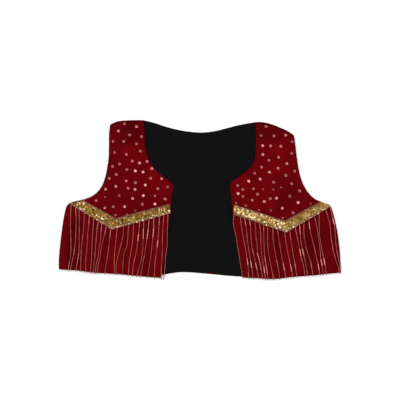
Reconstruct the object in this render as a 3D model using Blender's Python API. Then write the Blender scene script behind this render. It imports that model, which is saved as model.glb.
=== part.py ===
"""Velvet vest with gold V trims and bead fringes, laid flat and face up, as its cut and sewn pieces.

Frame: metres, +Z up. The origin is on the table under the middle of the vest, +Y runs to the neck
and +X to the right as seen from above; left and right are as seen from above too.
Sizes and tables are in millimetres, and become metres where a mesh is made.
"""

import math

import bpy
import numpy as np
from mathutils import Vector
from mathutils.bvhtree import BVHTree

MM = 0.001

# Layers, from the table up
SEAM_GAP = 0.3
BACK_WALL = 1.5
LINING_WALL = 1.0
FRONT_WALL = 2.0
BACK_MIDDLE = BACK_WALL / 2
LINING_MIDDLE = BACK_WALL + SEAM_GAP + LINING_WALL / 2
FRONT_MIDDLE = LINING_MIDDLE + LINING_WALL / 2 + SEAM_GAP + FRONT_WALL / 2
FRONT_LOFT = 1.5
EDGE_ROLL = 14.0
SEAM_ROLL_START = 4.0
SEAM_ROLL = 16.0

# Turned seam edges: the front curls down and the back curls up, and they meet in the middle
SEAM_HEIGHT = 3.3
FRONT_CURL = FRONT_MIDDLE + FRONT_LOFT - SEAM_HEIGHT - SEAM_GAP / 2
BACK_CURL = SEAM_HEIGHT - SEAM_GAP / 2 - BACK_MIDDLE
CURL_STEPS = 3
EDGE_THIN = 0.3
EDGE_NEXT = 0.92

# How far the back and its lining stay inside the fronts' outline
BACK_ARMHOLE_INSET = 1.0
LINING_SEAM_INSET = 3.8
LINING_OPEN_INSET = 1.0
LINING_EDGE = 0.8

# The underarm, as a share of the outer edge's length from the shoulder
UNDERARM = 0.605
SIDE_SEAM = 0.635

# The corner where the neck meets the front edge, as a share of the inner edge's length
FRONT_CORNER = 0.445

# Each panel's grid, as spans of (end share, number of cells) across and down
FRONT_ACROSS = ((0.026, 1), (1.0, 12))
FRONT_DOWN = (
    (0.018, 1), (FRONT_CORNER, 6), (UNDERARM, 3), (SIDE_SEAM, 1), (0.98, 6), (1.0, 1),
)
BACK_DOWN = ((0.018, 1), (UNDERARM, 7), (SIDE_SEAM, 1), (0.98, 5), (1.0, 1))
BACK_SIDE_CELL = 0.012
BACK_SHOULDER_CELLS = 4
BACK_NECK_CELL = 0.015
BACK_MIDDLE_CELLS = 10
SHARP_ANGLE = 55

# Outlines as (x, y), each smooth through its points
OUTER_LEFT = (
    (-161.5, 135.7), (-163.4, 118.8), (-163.8, 97.2), (-164.3, 75.6), (-167.0, 57.6),
    (-170.8, 39.4), (-178.0, 22.4), (-190.2, 9.4), (-205.6, 2.2), (-222.4, -1.8),
    (-232.6, -4.8), (-239.2, -10.4), (-243.2, -23.0), (-247.3, -46.8), (-250.9, -75.6),
    (-253.4, -100.8), (-254.0, -124.7),
)
OUTER_RIGHT = (
    (168.8, 116.6), (171.6, 97.2), (174.0, 77.4), (177.0, 57.6), (181.3, 39.6),
    (188.0, 23.4), (197.4, 10.1), (208.8, 0.7), (223.2, -4.9), (233.6, -9.7),
    (238.6, -21.6), (243.5, -39.6), (248.2, -64.8), (251.1, -90.0), (252.6, -111.6),
    (254.0, -130.3),
)
SHOULDER_LEFT = (
    (-161.5, 135.7), (-147.6, 141.5), (-133.2, 142.9), (-115.2, 143.6), (-100.3, 143.3),
)
SHOULDER_RIGHT = (
    (98.6, 139.9), (111.6, 140.0), (124.2, 137.5), (142.2, 131.0), (158.4, 123.5),
    (168.8, 116.6),
)
INNER_LEFT = (
    (-100.3, 143.3), (-99.4, 118.8), (-97.9, 97.2), (-94.3, 81.0), (-88.9, 67.2),
    (-79.8, 54.4), (-66.6, 42.8), (-53.0, 33.2), (-48.3, 25.4), (-49.8, 10.8),
    (-51.8, -10.8), (-55.2, -36.0), (-59.0, -64.8), (-60.8, -90.0), (-63.4, -112.0),
    (-66.8, -126.0), (-70.8, -140.0),
)
INNER_RIGHT = (
    (98.6, 139.9), (100.0, 118.8), (99.6, 93.6), (99.0, 76.5), (93.6, 63.9),
    (81.9, 51.8), (69.6, 41.4), (57.4, 33.8), (54.0, 27.4), (55.6, 7.2),
    (58.0, -18.0), (59.9, -43.2), (64.1, -72.0), (68.8, -97.2), (73.1, -118.8),
    (77.6, -139.7),
)
HEM_LEFT = (
    (-254.0, -124.7), (-223.2, -126.7), (-190.8, -130.7), (-147.6, -133.2), (-104.4, -137.5),
    (-70.8, -140.0),
)
HEM_RIGHT = (
    (77.6, -139.7), (104.4, -140.8), (133.2, -142.2), (165.6, -138.6), (208.8, -135.0),
    (254.0, -130.3),
)
BACK_NECK = (
    (-100.3, 143.3), (-82.8, 139.0), (-61.2, 131.9), (-39.6, 126.4), (-18.0, 122.9),
    (3.6, 121.5), (25.2, 123.7), (46.8, 128.9), (68.4, 134.5), (98.6, 139.9),
)
BACK_HEM = (
    (-254.0, -124.7), (-180.0, -127.8), (-108.0, -133.2), (-72.0, -135.4), (-54.0, -132.2),
    (-32.4, -129.8), (3.6, -131.9), (39.6, -135.4), (77.4, -137.8), (135.0, -138.6),
    (198.0, -133.7), (254.0, -130.3),
)

# Soft folds: (start x, start y, end x, end y, half width, height)
FOLDS_LEFT = (
    (-236.0, -25.0, -243.0, -160.0, 11.0, 1.6),
    (-196.0, -30.0, -203.0, -165.0, 13.0, 2.2),
    (-152.0, -45.0, -158.0, -170.0, 12.0, 1.8),
    (-116.0, -30.0, -124.0, -175.0, 12.0, 2.3),
    (-76.0, -15.0, -86.0, -180.0, 10.0, 1.6),
    (-152.0, 128.0, -110.0, 62.0, 13.0, 1.3),
    (-176.0, 48.0, -118.0, 4.0, 14.0, 1.2),
)
FOLDS_RIGHT = (
    (78.0, -20.0, 94.0, -180.0, 10.0, 1.7),
    (112.0, -30.0, 124.0, -180.0, 12.0, 2.3),
    (154.0, -45.0, 164.0, -175.0, 12.0, 1.8),
    (196.0, -30.0, 210.0, -170.0, 13.0, 2.2),
    (232.0, -25.0, 244.0, -165.0, 11.0, 1.5),
    (152.0, 112.0, 112.0, 58.0, 13.0, 1.3),
    (184.0, 42.0, 122.0, 2.0, 14.0, 1.2),
)
WRINKLES_LINING = (
    (-36.0, 104.0, 44.0, 60.0, 11.0, 0.9),
    (-34.0, 40.0, 50.0, -14.0, 13.0, 0.8),
    (40.0, 20.0, -46.0, -74.0, 13.0, 1.0),
    (-26.0, -70.0, 58.0, -120.0, 12.0, 0.8),
)
FOLD_FADE = 0.28

# V trims: the corners of the ribbon's upper and lower edge, west end, tip and east end
TRIM_WIDTH = 18.0
TRIM_LEFT = {
    "upper": ((-208.4, -0.8), (-151.6, -32.8), (-54.0, -6.8)),
    "lower": ((-233.8, -6.4), (-158.4, -52.9), (-52.6, -23.5)),
}
TRIM_RIGHT = {
    "upper": ((61.6, -8.5), (151.4, -37.4), (216.2, -2.6)),
    "lower": ((60.2, -26.0), (154.6, -58.1), (235.3, -11.0)),
}
TRIM_CELLS_PER_LEG = 10
# How far round a place the cloth is felt, across and along, by the ribbon and by the tape
RIBBON_REACH = (4.0, 3.0)
TAPE_REACH = (3.0, 3.0)
# Ribbon section over the front: (across from the lower edge, underside, top)
TRIM_SECTION = (
    (0.0, 2.1, 2.7),
    (0.7, 1.7, 3.6),
    (2.4, 1.7, 3.2),
    (9.0, 1.7, 3.4),
    (15.6, 0.35, 2.3),
    (17.3, 0.35, 2.7),
    (18.0, 0.75, 1.35),
)

# Fringe: a narrow tape under the ribbon's lower side, and strands that start from its lower edge
TAPE_LOW = 1.2
TAPE_HIGH = 8.2
TAPE_WALL = 1.0
STRAND_WIDTH = 1.5
STRAND_HEIGHT = 1.1
STRAND_CELLS = 10
STRAND_PAST_HEM = 1.6
# The heights where a strand's place is given, used from STRAND_ROOT_CLEAR below its root
STRAND_HEIGHTS = (-45.0, -63.0, -81.0, -99.0, -117.0)
STRAND_ROOT_CLEAR = 6.0
# Strands: x at the root, at each of those five heights, and at the hem
STRANDS_LEFT = (
    (-231.2, -232.6, -231.5, -231.5, -231.8, -235.1, -237.2),
    (-223.2, -222.3, -222.8, -224.3, -226.8, -230.8, -233.8),
    (-217.1, -216.7, -216.7, -216.9, -217.8, -221.0, -223.0),
    (-207.7, -207.9, -210.2, -212.0, -213.1, -214.0, -214.9),
    (-198.5, -199.4, -201.6, -202.1, -204.3, -205.0, -204.7),
    (-191.0, -191.2, -192.8, -193.7, -194.2, -195.8, -196.9),
    (-182.3, -183.6, -185.8, -186.7, -188.5, -190.4, -190.8),
    (-176.0, -176.2, -178.0, -180.0, -182.5, -186.1, -187.9),
    (-167.9, -167.9, -171.7, -176.0, -179.3, -182.5, -184.5),
    (-160.2, -160.2, -161.3, -163.1, -165.6, -169.0, -171.7),
    (-148.5, -148.5, -149.6, -151.4, -153.2, -153.9, -153.7),
    (-137.5, -137.5, -138.2, -142.0, -147.1, -150.7, -150.1),
    (-128.0, -128.0, -129.6, -131.0, -137.5, -138.2, -139.5),
    (-119.2, -119.2, -119.9, -121.7, -124.9, -127.1, -129.1),
    (-108.7, -108.9, -110.3, -112.0, -115.7, -119.3, -121.3),
    (-100.6, -101.0, -101.9, -102.1, -104.0, -107.3, -114.3),
    (-91.1, -91.8, -94.0, -96.7, -100.1, -103.5, -106.9),
    (-83.0, -83.3, -84.4, -86.0, -88.0, -90.7, -94.1),
    (-72.5, -73.1, -74.5, -76.5, -78.7, -81.2, -81.9),
    (-64.6, -65.9, -67.1, -67.9, -68.0, -69.7, -69.5),
    (-57.6, -58.1, -59.0, -59.0, -61.9, -62.5, -65.3),
)
STRANDS_RIGHT = (
    (61.4, 59.3, 64.8, 66.8, 70.6, 73.1, 76.5),
    (72.2, 74.0, 77.0, 80.6, 83.0, 86.4, 87.5),
    (79.7, 82.1, 84.1, 86.4, 89.3, 92.0, 96.3),
    (88.9, 90.4, 90.9, 92.5, 96.5, 100.8, 105.8),
    (98.5, 99.0, 100.3, 102.1, 104.2, 108.4, 112.9),
    (106.7, 107.1, 109.1, 109.1, 110.9, 113.9, 118.1),
    (114.1, 114.1, 115.0, 115.0, 115.9, 118.6, 122.0),
    (121.3, 121.3, 121.3, 121.5, 123.7, 126.9, 132.8),
    (130.7, 130.7, 130.9, 132.5, 136.1, 139.9, 143.3),
    (139.5, 139.5, 140.6, 143.3, 146.0, 150.1, 153.9),
    (151.9, 151.9, 152.5, 155.2, 158.8, 162.5, 167.0),
    (160.6, 160.6, 161.8, 164.5, 167.0, 171.0, 174.4),
    (170.3, 170.3, 173.7, 177.7, 180.7, 185.6, 188.5),
    (178.6, 178.6, 180.5, 182.3, 186.5, 190.4, 193.3),
    (186.5, 186.3, 186.5, 189.2, 194.8, 199.4, 203.0),
    (195.1, 196.0, 199.4, 203.9, 208.1, 212.0, 216.0),
    (204.8, 209.2, 212.0, 214.6, 215.9, 218.9, 221.4),
    (213.5, 214.2, 214.8, 217.3, 220.3, 224.6, 226.6),
    (225.0, 233.3, 234.9, 237.4, 241.4, 247.0, 250.4),
    (233.0, 241.0, 242.8, 243.9, 247.0, 251.4, 252.8),
)
# The two strands nearest the left front edge hang further past the hem
LONG_STRANDS_LEFT = {19: 3.6, 20: 3.9}

# Finishes: (red, green, blue) of 255, roughness, metallic
FINISHES = {
    "velvet": ((98, 4, 14), 0.9, 0.0),
    "lining": ((18, 18, 19), 0.7, 0.0),
    "ribbon": ((178, 142, 66), 0.35, 0.8),
    "beads": ((186, 140, 92), 0.3, 0.8),
}


def smoothstep(value):
    """Return 0 below 0, 1 above 1 and an S curve between them."""
    share = np.clip(value, 0.0, 1.0)
    return share * share * (3.0 - 2.0 * share)


def stops(*spans):
    """Return rising shares from 0; each span is its end share and its number of cells."""
    values = [0.0]
    for end, cells in spans:
        start = values[-1]
        values += [start + (end - start) * (n + 1) / cells for n in range(cells)]
    return np.array(values)


class Edge:
    """A smooth curve in plan, read by the share of its length."""

    SAMPLES = 16

    def __init__(self, *tables):
        """Join one or more tables of points, each smooth in itself."""
        runs = [self.smooth(table) for table in tables]
        self.points = np.vstack([runs[0]] + [run[1:] for run in runs[1:]])
        steps = np.linalg.norm(np.diff(self.points, axis=0), axis=1)
        self.lengths = np.concatenate([[0.0], np.cumsum(steps)])

    def smooth(self, table):
        """Return a dense cubic curve through a table of points."""
        knots = np.array(table, float)
        gaps = np.linalg.norm(np.diff(knots, axis=0), axis=1)
        times = np.concatenate([[0.0], np.cumsum(np.sqrt(gaps))])
        slopes = np.gradient(knots, times, axis=0)
        share = np.linspace(0.0, 1.0, self.SAMPLES, endpoint=False)[:, None]
        runs = []
        for n in range(len(knots) - 1):
            span = times[n + 1] - times[n]
            runs.append(
                (2 * share**3 - 3 * share**2 + 1) * knots[n]
                + (share**3 - 2 * share**2 + share) * span * slopes[n]
                + (3 * share**2 - 2 * share**3) * knots[n + 1]
                + (share**3 - share**2) * span * slopes[n + 1]
            )
        return np.vstack(runs + [knots[-1:]])

    def at(self, share):
        """Return the point at a share of the length."""
        along = np.asarray(share) * self.lengths[-1]
        x = np.interp(along, self.lengths, self.points[:, 0])
        y = np.interp(along, self.lengths, self.points[:, 1])
        return np.stack([x, y], axis=-1)

    def outward(self, share, turn):
        """Return the unit normal; turn is 1 where the outside is left of the way along."""
        reach = 0.004
        step = self.at(min(share + reach, 1.0)) - self.at(max(share - reach, 0.0))
        normal = np.array([-step[1], step[0]]) * turn
        return normal / np.linalg.norm(normal)

    def part(self, low, high):
        """Return the dense points between two shares of the length."""
        return self.at(np.linspace(low, high, len(self.points)))


def distance(points, line):
    """Return each point's distance to the nearest point of a dense line."""
    gaps = points[:, None, :] - line[None, :, :]
    return np.sqrt((gaps**2).sum(axis=2)).min(axis=1)


def fold_height(points, folds):
    """Return the height that a table of soft folds adds at each point."""
    total = np.zeros(len(points))
    for start_x, start_y, end_x, end_y, half_width, height in folds:
        start = np.array([start_x, start_y])
        run = np.array([end_x, end_y]) - start
        length = np.linalg.norm(run)
        along = (points - start) @ run / length**2
        aside = ((points - start) @ np.array([-run[1], run[0]])) / length
        window = smoothstep(along / FOLD_FADE) * smoothstep((1.0 - along) / FOLD_FADE)
        total += height * window * np.exp(-((aside / half_width) ** 2))
    return total


def curl_rows(curl, radius, wall):
    """Return rows from a piece's edge inwards: (inset, drop, tilt, thickness).

    The curl is 1 at a turned seam, whose wall bends through a quarter circle, and 0 at an open
    edge, whose wall thins to a rounded lip.
    """
    length = radius * math.pi / 2
    bend = curl / radius
    rows = []
    for step in range(CURL_STEPS + 1):
        along = length * (1 - step / CURL_STEPS)
        tilt = bend * along
        if bend > 1e-6:
            out_to_edge = (math.sin(bend * length) - math.sin(tilt)) / bend
            drop = (1 - math.cos(tilt)) / bend
        else:
            out_to_edge = length - along
            drop = 0.0
        thin = (EDGE_THIN, EDGE_NEXT)[step] if step < 2 else 1.0
        thickness = wall * (thin + (1 - thin) * curl)
        rows.append((curl * wall / 2 + out_to_edge, drop, tilt, thickness))
    return np.array(rows)


class Panel:
    """A cloth panel: a grid inside rings that follow its outline, given a wall's thickness."""

    def __init__(self, top, hem, west, east, across, down, rim, middle, rise):
        """Keep the four edges, the grid's shares, the rim's rows and the height of the middle.

        rim(side, share) gives the rows of curl_rows at a place on the outline, middle(points)
        gives the height of the wall's middle, and rise is -1 where the rim's drop goes down and
        1 where it goes up.
        """
        self.edges = {"top": top, "east": east, "hem": hem, "west": west}
        self.across = across
        self.down = down
        self.rim = rim
        self.middle = middle
        self.rise = rise

    def outline_places(self):
        """Return the loop round the outline as ((row, column), [(side, share, turn), ...])."""
        last_row = len(self.down) - 1
        last_column = len(self.across) - 1
        places = []
        for column, share in enumerate(self.across):
            sides = [("top", share, 1)]
            if column == 0:
                sides.append(("west", 0.0, -1))
            if column == last_column:
                sides.append(("east", 0.0, 1))
            places.append(((0, column), sides))
        for row in range(1, last_row):
            places.append(((row, last_column), [("east", self.down[row], 1)]))
        for column in range(last_column, -1, -1):
            sides = [("hem", self.across[column], -1)]
            if column == 0:
                sides.append(("west", 1.0, -1))
            if column == last_column:
                sides.append(("east", 1.0, 1))
            places.append(((last_row, column), sides))
        for row in range(last_row - 1, 0, -1):
            places.append(((row, 0), [("west", self.down[row], -1)]))
        return places

    def rim_points(self, sides):
        """Return a place's rim as plan points, outward direction, drops, tilts and thickness."""
        rows = [self.rim(side, share) for side, share, _ in sides]
        normals = [self.edges[side].outward(share, turn) for side, share, turn in sides]
        corner = self.edges[sides[0][0]].at(sides[0][1])
        lead = int(np.argmax([row[0, 2] for row in rows]))
        if len(sides) == 1:
            shifts = -normals[0][None, :] * rows[0][:, :1]
        else:
            insets = np.stack([rows[0][:, 0], rows[1][:, 0]])
            shifts = -np.linalg.solve(np.array(normals), insets).T
        thickness = np.min([row[:, 3] for row in rows], axis=0)
        return corner + shifts, normals[lead], rows[lead][:, 1], rows[lead][:, 2], thickness

    def build(self):
        """Return the wall's points, in millimetres, and its faces."""
        row_count = len(self.down)
        column_count = len(self.across)
        places = self.outline_places()
        rims = [self.rim_points(sides) for _, sides in places]
        rings = len(rims[0][0]) - 1

        grid = np.zeros((row_count, column_count, 2))
        thickness = np.full((row_count, column_count), rims[0][4][-1])
        for (cell, _), rim in zip(places, rims):
            grid[cell] = rim[0][-1]
        u = self.across[None, :, None]
        v = self.down[:, None, None]
        corners = (
            (1 - u) * (1 - v) * grid[0, 0]
            + u * (1 - v) * grid[0, -1]
            + (1 - u) * v * grid[-1, 0]
            + u * v * grid[-1, -1]
        )
        blend = (
            (1 - v) * grid[None, 0]
            + v * grid[None, -1]
            + (1 - u) * grid[:, None, 0]
            + u * grid[:, None, -1]
            - corners
        )
        grid[1:-1, 1:-1] = blend[1:-1, 1:-1]

        plan = [grid.reshape(-1, 2)]
        drops = [np.zeros(grid.shape[0] * grid.shape[1])]
        leans = [np.zeros((row_count * column_count, 2))]
        walls = [thickness.ravel()]
        for ring in range(rings - 1, -1, -1):
            plan.append(np.array([rim[0][ring] for rim in rims]))
            drops.append(np.array([rim[2][ring] for rim in rims]))
            leans.append(np.array([rim[1] * rim[3][ring] for rim in rims]))
            walls.append(np.array([rim[4][ring] for rim in rims]))
        plan = np.vstack(plan)
        drops = np.concatenate(drops)
        leans = np.vstack(leans)
        walls = np.concatenate(walls)

        height = self.middle(plan) + self.rise * drops
        tilt = np.linalg.norm(leans, axis=1)
        lean = -self.rise * leans * np.divide(np.sin(tilt), np.maximum(tilt, 1e-9))[:, None]
        slope = self.slopes(plan)
        normals = np.column_stack([lean - slope * np.cos(tilt)[:, None], np.cos(tilt)])
        normals /= np.linalg.norm(normals, axis=1)[:, None]
        middle = np.column_stack([plan, height])
        half = normals * walls[:, None] / 2
        points = np.vstack([middle + half, middle - half])
        return points, self.faces(places, row_count, column_count, rings)

    def slopes(self, plan):
        """Return the slope of the wall's middle in x and y at each point."""
        step = 0.5
        east = self.middle(plan + [step, 0.0]) - self.middle(plan - [step, 0.0])
        north = self.middle(plan + [0.0, step]) - self.middle(plan - [0.0, step])
        return np.column_stack([east, north]) / (2 * step)

    def faces(self, places, row_count, column_count, rings):
        """Return the faces of both layers and of the rim between them."""
        upper = []
        for row in range(row_count - 1):
            for column in range(column_count - 1):
                first = row * column_count + column
                below = first + column_count
                upper.append((first, below, below + 1, first + 1))
        inner = [row * column_count + column for (row, column), _ in places]
        base = row_count * column_count
        count = len(places)
        for _ in range(rings):
            outer = [base + n for n in range(count)]
            for n in range(count):
                after = (n + 1) % count
                upper.append((outer[n], inner[n], inner[after], outer[after]))
            inner = outer
            base += count
        lower = [tuple(base + index for index in reversed(face)) for face in upper]
        rim = []
        for n in range(count):
            after = (n + 1) % count
            rim.append((inner[n], inner[after], base + inner[after], base + inner[n]))
        return upper + lower + rim


def make_material(name):
    """Return a Principled material with a finish's colour, roughness and metallic value."""
    colour, roughness, metallic = FINISHES[name]
    material = bpy.data.materials.new(name)
    material.use_nodes = True
    shader = material.node_tree.nodes["Principled BSDF"]
    linear = [(value / 255 / 12.92) if value < 11 else ((value / 255 + 0.055) / 1.055) ** 2.4
              for value in colour]
    shader.inputs["Base Color"].default_value = (*linear, 1.0)
    shader.inputs["Roughness"].default_value = roughness
    shader.inputs["Metallic"].default_value = metallic
    return material


def add_piece(name, points, faces, material, parent):
    """Make one named solid from points in millimetres."""
    mesh = bpy.data.meshes.new(name)
    mesh.from_pydata([tuple(point * MM) for point in points], [], faces)
    mesh.materials.append(material)
    mesh.shade_smooth()
    mesh.set_sharp_from_angle(angle=math.radians(SHARP_ANGLE))
    piece = bpy.data.objects.new(name, mesh)
    bpy.context.collection.objects.link(piece)
    piece.parent = parent
    return piece


class Cover:
    """The height of the highest cloth at a place in plan."""

    SKY = 60.0

    def __init__(self, *walls):
        """Keep a ray tree for each wall's points and faces."""
        self.trees = [
            BVHTree.FromPolygons([Vector(point) for point in points], faces)
            for points, faces in walls
        ]

    def at(self, x, y):
        """Return the height at a point, or 0 where there is only the table."""
        start = Vector((x, y, self.SKY))
        hits = [tree.ray_cast(start, Vector((0.0, 0.0, -1.0)))[0] for tree in self.trees]
        return max([hit.z for hit in hits if hit is not None], default=0.0)

    def around(self, x, y, reach_x, reach_y):
        """Return the greatest height within a small reach of a point."""
        steps = (-1.0, -0.5, 0.0, 0.5, 1.0)
        return max(
            self.at(x + across * reach_x, y + along * reach_y)
            for across in steps
            for along in steps
        )


def leg_points(corners, cells):
    """Return points along a V of three corners, with the same number of cells on each leg."""
    west, tip, east = (np.array(corner) for corner in corners)
    shares = np.arange(cells) / cells
    first = west + shares[:, None] * (tip - west)
    second = tip + shares[:, None] * (east - tip)
    return np.vstack([first, second, [east]])


def trim_mesh(trim, cover):
    """Return a V ribbon's points and faces, laid over the front."""
    lower = leg_points(trim["lower"], TRIM_CELLS_PER_LEG)
    upper = leg_points(trim["upper"], TRIM_CELLS_PER_LEG)
    undersides = []
    tops = []
    for low, high in zip(lower, upper):
        for across, underside, top in TRIM_SECTION:
            x, y = low + (high - low) * across / TRIM_WIDTH
            cloth = cover.around(x, y, *RIBBON_REACH)
            undersides.append((x, y, cloth + underside))
            tops.append((x, y, cloth + top))
    stations = len(lower)
    width = len(TRIM_SECTION)
    above = []
    for station in range(stations - 1):
        for n in range(width - 1):
            first = station * width + n
            above.append((first, first + width, first + width + 1, first + 1))
    base = stations * width
    below = [tuple(base + index for index in reversed(face)) for face in above]
    loop = [station * width for station in range(stations)]
    loop += [(stations - 1) * width + n for n in range(1, width)]
    loop += [station * width + width - 1 for station in range(stations - 2, -1, -1)]
    loop += list(range(width - 2, 0, -1))
    rim = []
    for n, index in enumerate(loop):
        after = loop[(n + 1) % len(loop)]
        rim.append((base + index, base + after, after, index))
    return np.array(tops + undersides), above + below + rim


def tape_line(trim, across):
    """Return the V line of the tape at a distance from the ribbon's lower edge."""
    lower = np.array(trim["lower"])
    upper = np.array(trim["upper"])
    return lower + (upper - lower) * across / TRIM_WIDTH


def strand_points(row, low_line, hem, extra):
    """Return a strand's plan points from its root on the tape to its end past the hem."""
    root_x, *between, hem_x = row
    root_y = float(np.interp(root_x, low_line[:, 0], low_line[:, 1]))
    knots = [(root_x, root_y)]
    knots += [
        (x, y) for x, y in zip(between, STRAND_HEIGHTS) if y < root_y - STRAND_ROOT_CLEAR
    ]
    knots.append((hem_x, float(np.interp(hem_x, hem[:, 0], hem[:, 1])) - extra))
    return Edge(knots).at(np.arange(STRAND_CELLS + 1) / STRAND_CELLS)


def fringe_mesh(trim, strands, hem, long_strands, cover):
    """Return the points and faces of a tape with the strands that grow from its lower edge."""
    low_line = tape_line(trim, TAPE_LOW)
    high_line = tape_line(trim, TAPE_HIGH)
    tip = low_line[1, 0]
    half = STRAND_WIDTH / 2
    marks = [low_line[0, 0], low_line[2, 0]]
    for root_x, *_ in strands:
        marks += [root_x - half, root_x + half]
    if all(abs(tip - root_x) > STRAND_WIDTH for root_x, *_ in strands):
        marks.append(tip)
    marks = sorted(marks)

    points = []
    for x in marks:
        share = np.interp(x, low_line[:, 0], [0.0, 1.0, 2.0])
        for line in (low_line, high_line):
            place = np.array([np.interp(share, [0.0, 1.0, 2.0], line[:, n]) for n in (0, 1)])
            cloth = cover.around(*place, *TAPE_REACH)
            levels = (cloth + SEAM_GAP, cloth + SEAM_GAP + TAPE_WALL)
            if line is high_line:
                levels = levels[::-1]
            points += [(*place, level) for level in levels]

    faces = [(0, 1, 2, 3)]
    starts = {root_x - half: n for n, (root_x, *_) in enumerate(strands)}
    for station in range(len(marks) - 1):
        a, b, c, d = (4 * station + n for n in range(4))
        e, f, g, h = (4 * station + 4 + n for n in range(4))
        faces += [(b, f, g, c), (a, d, h, e), (d, c, g, h)]
        if marks[station] not in starts:
            faces.append((a, e, f, b))
            continue
        number = starts[marks[station]]
        extra = long_strands.get(number, STRAND_PAST_HEM)
        path = strand_points(strands[number], low_line, hem, extra)
        ring = (a, e, f, b)
        reach = np.linalg.norm(path[-1] - path[0]) / STRAND_CELLS / 2
        for step in range(1, len(path)):
            run = path[min(step + 1, STRAND_CELLS)] - path[step - 1]
            side = np.array([-run[1], run[0]]) / np.linalg.norm(run) * half
            x, y = path[step]
            base = cover.around(x, y, STRAND_WIDTH, reach) + SEAM_GAP
            new = []
            for sign, rise in ((-1, 0.0), (1, 0.0), (1, STRAND_HEIGHT), (-1, STRAND_HEIGHT)):
                new.append(len(points))
                points.append((x + sign * side[0], y + sign * side[1], base + rise))
            for n in range(4):
                after = (n + 1) % 4
                faces.append((ring[n], ring[after], new[after], new[n]))
            ring = tuple(new)
        faces.append(ring)
    last = 4 * (len(marks) - 1)
    faces.append((last + 3, last + 2, last + 1, last))
    return np.array(points), faces


def seam_share(share):
    """Return how far an outer edge has become the side seam at a share of its length."""
    return float(smoothstep((share - UNDERARM) / (SIDE_SEAM - UNDERARM)))


def front_panel(shoulder, hem, outer, inner, folds, outer_is_west):
    """Return one front as a panel."""
    open_line = np.vstack([inner.points, hem.points, outer.part(0.0, UNDERARM)])
    seam_line = np.vstack([shoulder.points, outer.part(SIDE_SEAM, 1.0)])

    def middle(points):
        """Return the height of the front's middle."""
        roll = smoothstep(distance(points, open_line) / EDGE_ROLL)
        seam = 1 - smoothstep((distance(points, seam_line) - SEAM_ROLL_START) / SEAM_ROLL)
        loft = FRONT_LOFT * (1 - (1 - roll) * (1 - seam))
        return FRONT_MIDDLE + loft + fold_height(points, folds) * (1 - seam)

    outer_side = "west" if outer_is_west else "east"

    def rim(side, share):
        """Return the rim's rows at a place on the outline."""
        curl = {"top": 1.0, outer_side: seam_share(share)}.get(side, 0.0)
        return curl_rows(curl, FRONT_CURL, FRONT_WALL)

    across = stops(*FRONT_ACROSS)
    if not outer_is_west:
        across = 1 - across[::-1]
    down = stops(*FRONT_DOWN)
    west, east = (outer, inner) if outer_is_west else (inner, outer)
    return Panel(shoulder, hem, west, east, across, down, rim, middle, -1)


def back_layout(neck_west, neck_east):
    """Return the shares across and down that the back and its lining use."""
    across = stops(
        (BACK_SIDE_CELL, 1),
        (neck_west, BACK_SHOULDER_CELLS),
        (neck_west + BACK_NECK_CELL, 1),
        (neck_east - BACK_NECK_CELL, BACK_MIDDLE_CELLS),
        (neck_east, 1),
        (1 - BACK_SIDE_CELL, BACK_SHOULDER_CELLS),
        (1.0, 1),
    )
    return across, stops(*BACK_DOWN)


def back_panels(top, hem, west, east, neck_shares):
    """Return the velvet back and its lining as panels."""
    neck_west, neck_east = neck_shares
    across, down = back_layout(neck_west, neck_east)

    def is_shoulder(share):
        """Return whether a share of the top edge is on a shoulder seam."""
        return share <= neck_west + 1e-6 or share >= neck_east - 1e-6

    def velvet_rim(side, share):
        """Return the velvet's rim: curled up at the seams, plain at neck, hem and armholes."""
        inset = 0.0
        if side == "top":
            curl = 1.0 if is_shoulder(share) else 0.0
        elif side == "hem":
            curl = 0.0
        else:
            curl = seam_share(share)
            inset = BACK_ARMHOLE_INSET * (1 - curl)
        rows = curl_rows(curl, BACK_CURL, BACK_WALL)
        rows[:, 0] += inset
        return rows

    def lining_rim(side, share):
        """Return the lining's rim: well inside the turned seams, near the neck and the hem."""
        open_edge = side == "hem" or (side == "top" and not is_shoulder(share))
        inset = LINING_OPEN_INSET if open_edge else LINING_SEAM_INSET
        return np.array([
            (inset, 0.0, 0.0, LINING_WALL / 2),
            (inset + LINING_EDGE, 0.0, 0.0, LINING_WALL),
        ])

    def velvet_middle(points):
        """Return the flat height of the back's middle."""
        return np.full(len(points), BACK_MIDDLE)

    def lining_middle(points):
        """Return the height of the lining's middle, with its faint wrinkles."""
        return LINING_MIDDLE + fold_height(points, WRINKLES_LINING)

    velvet = Panel(top, hem, west, east, across, down, velvet_rim, velvet_middle, 1)
    lining = Panel(top, hem, west, east, across, down, lining_rim, lining_middle, 1)
    return velvet, lining


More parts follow.
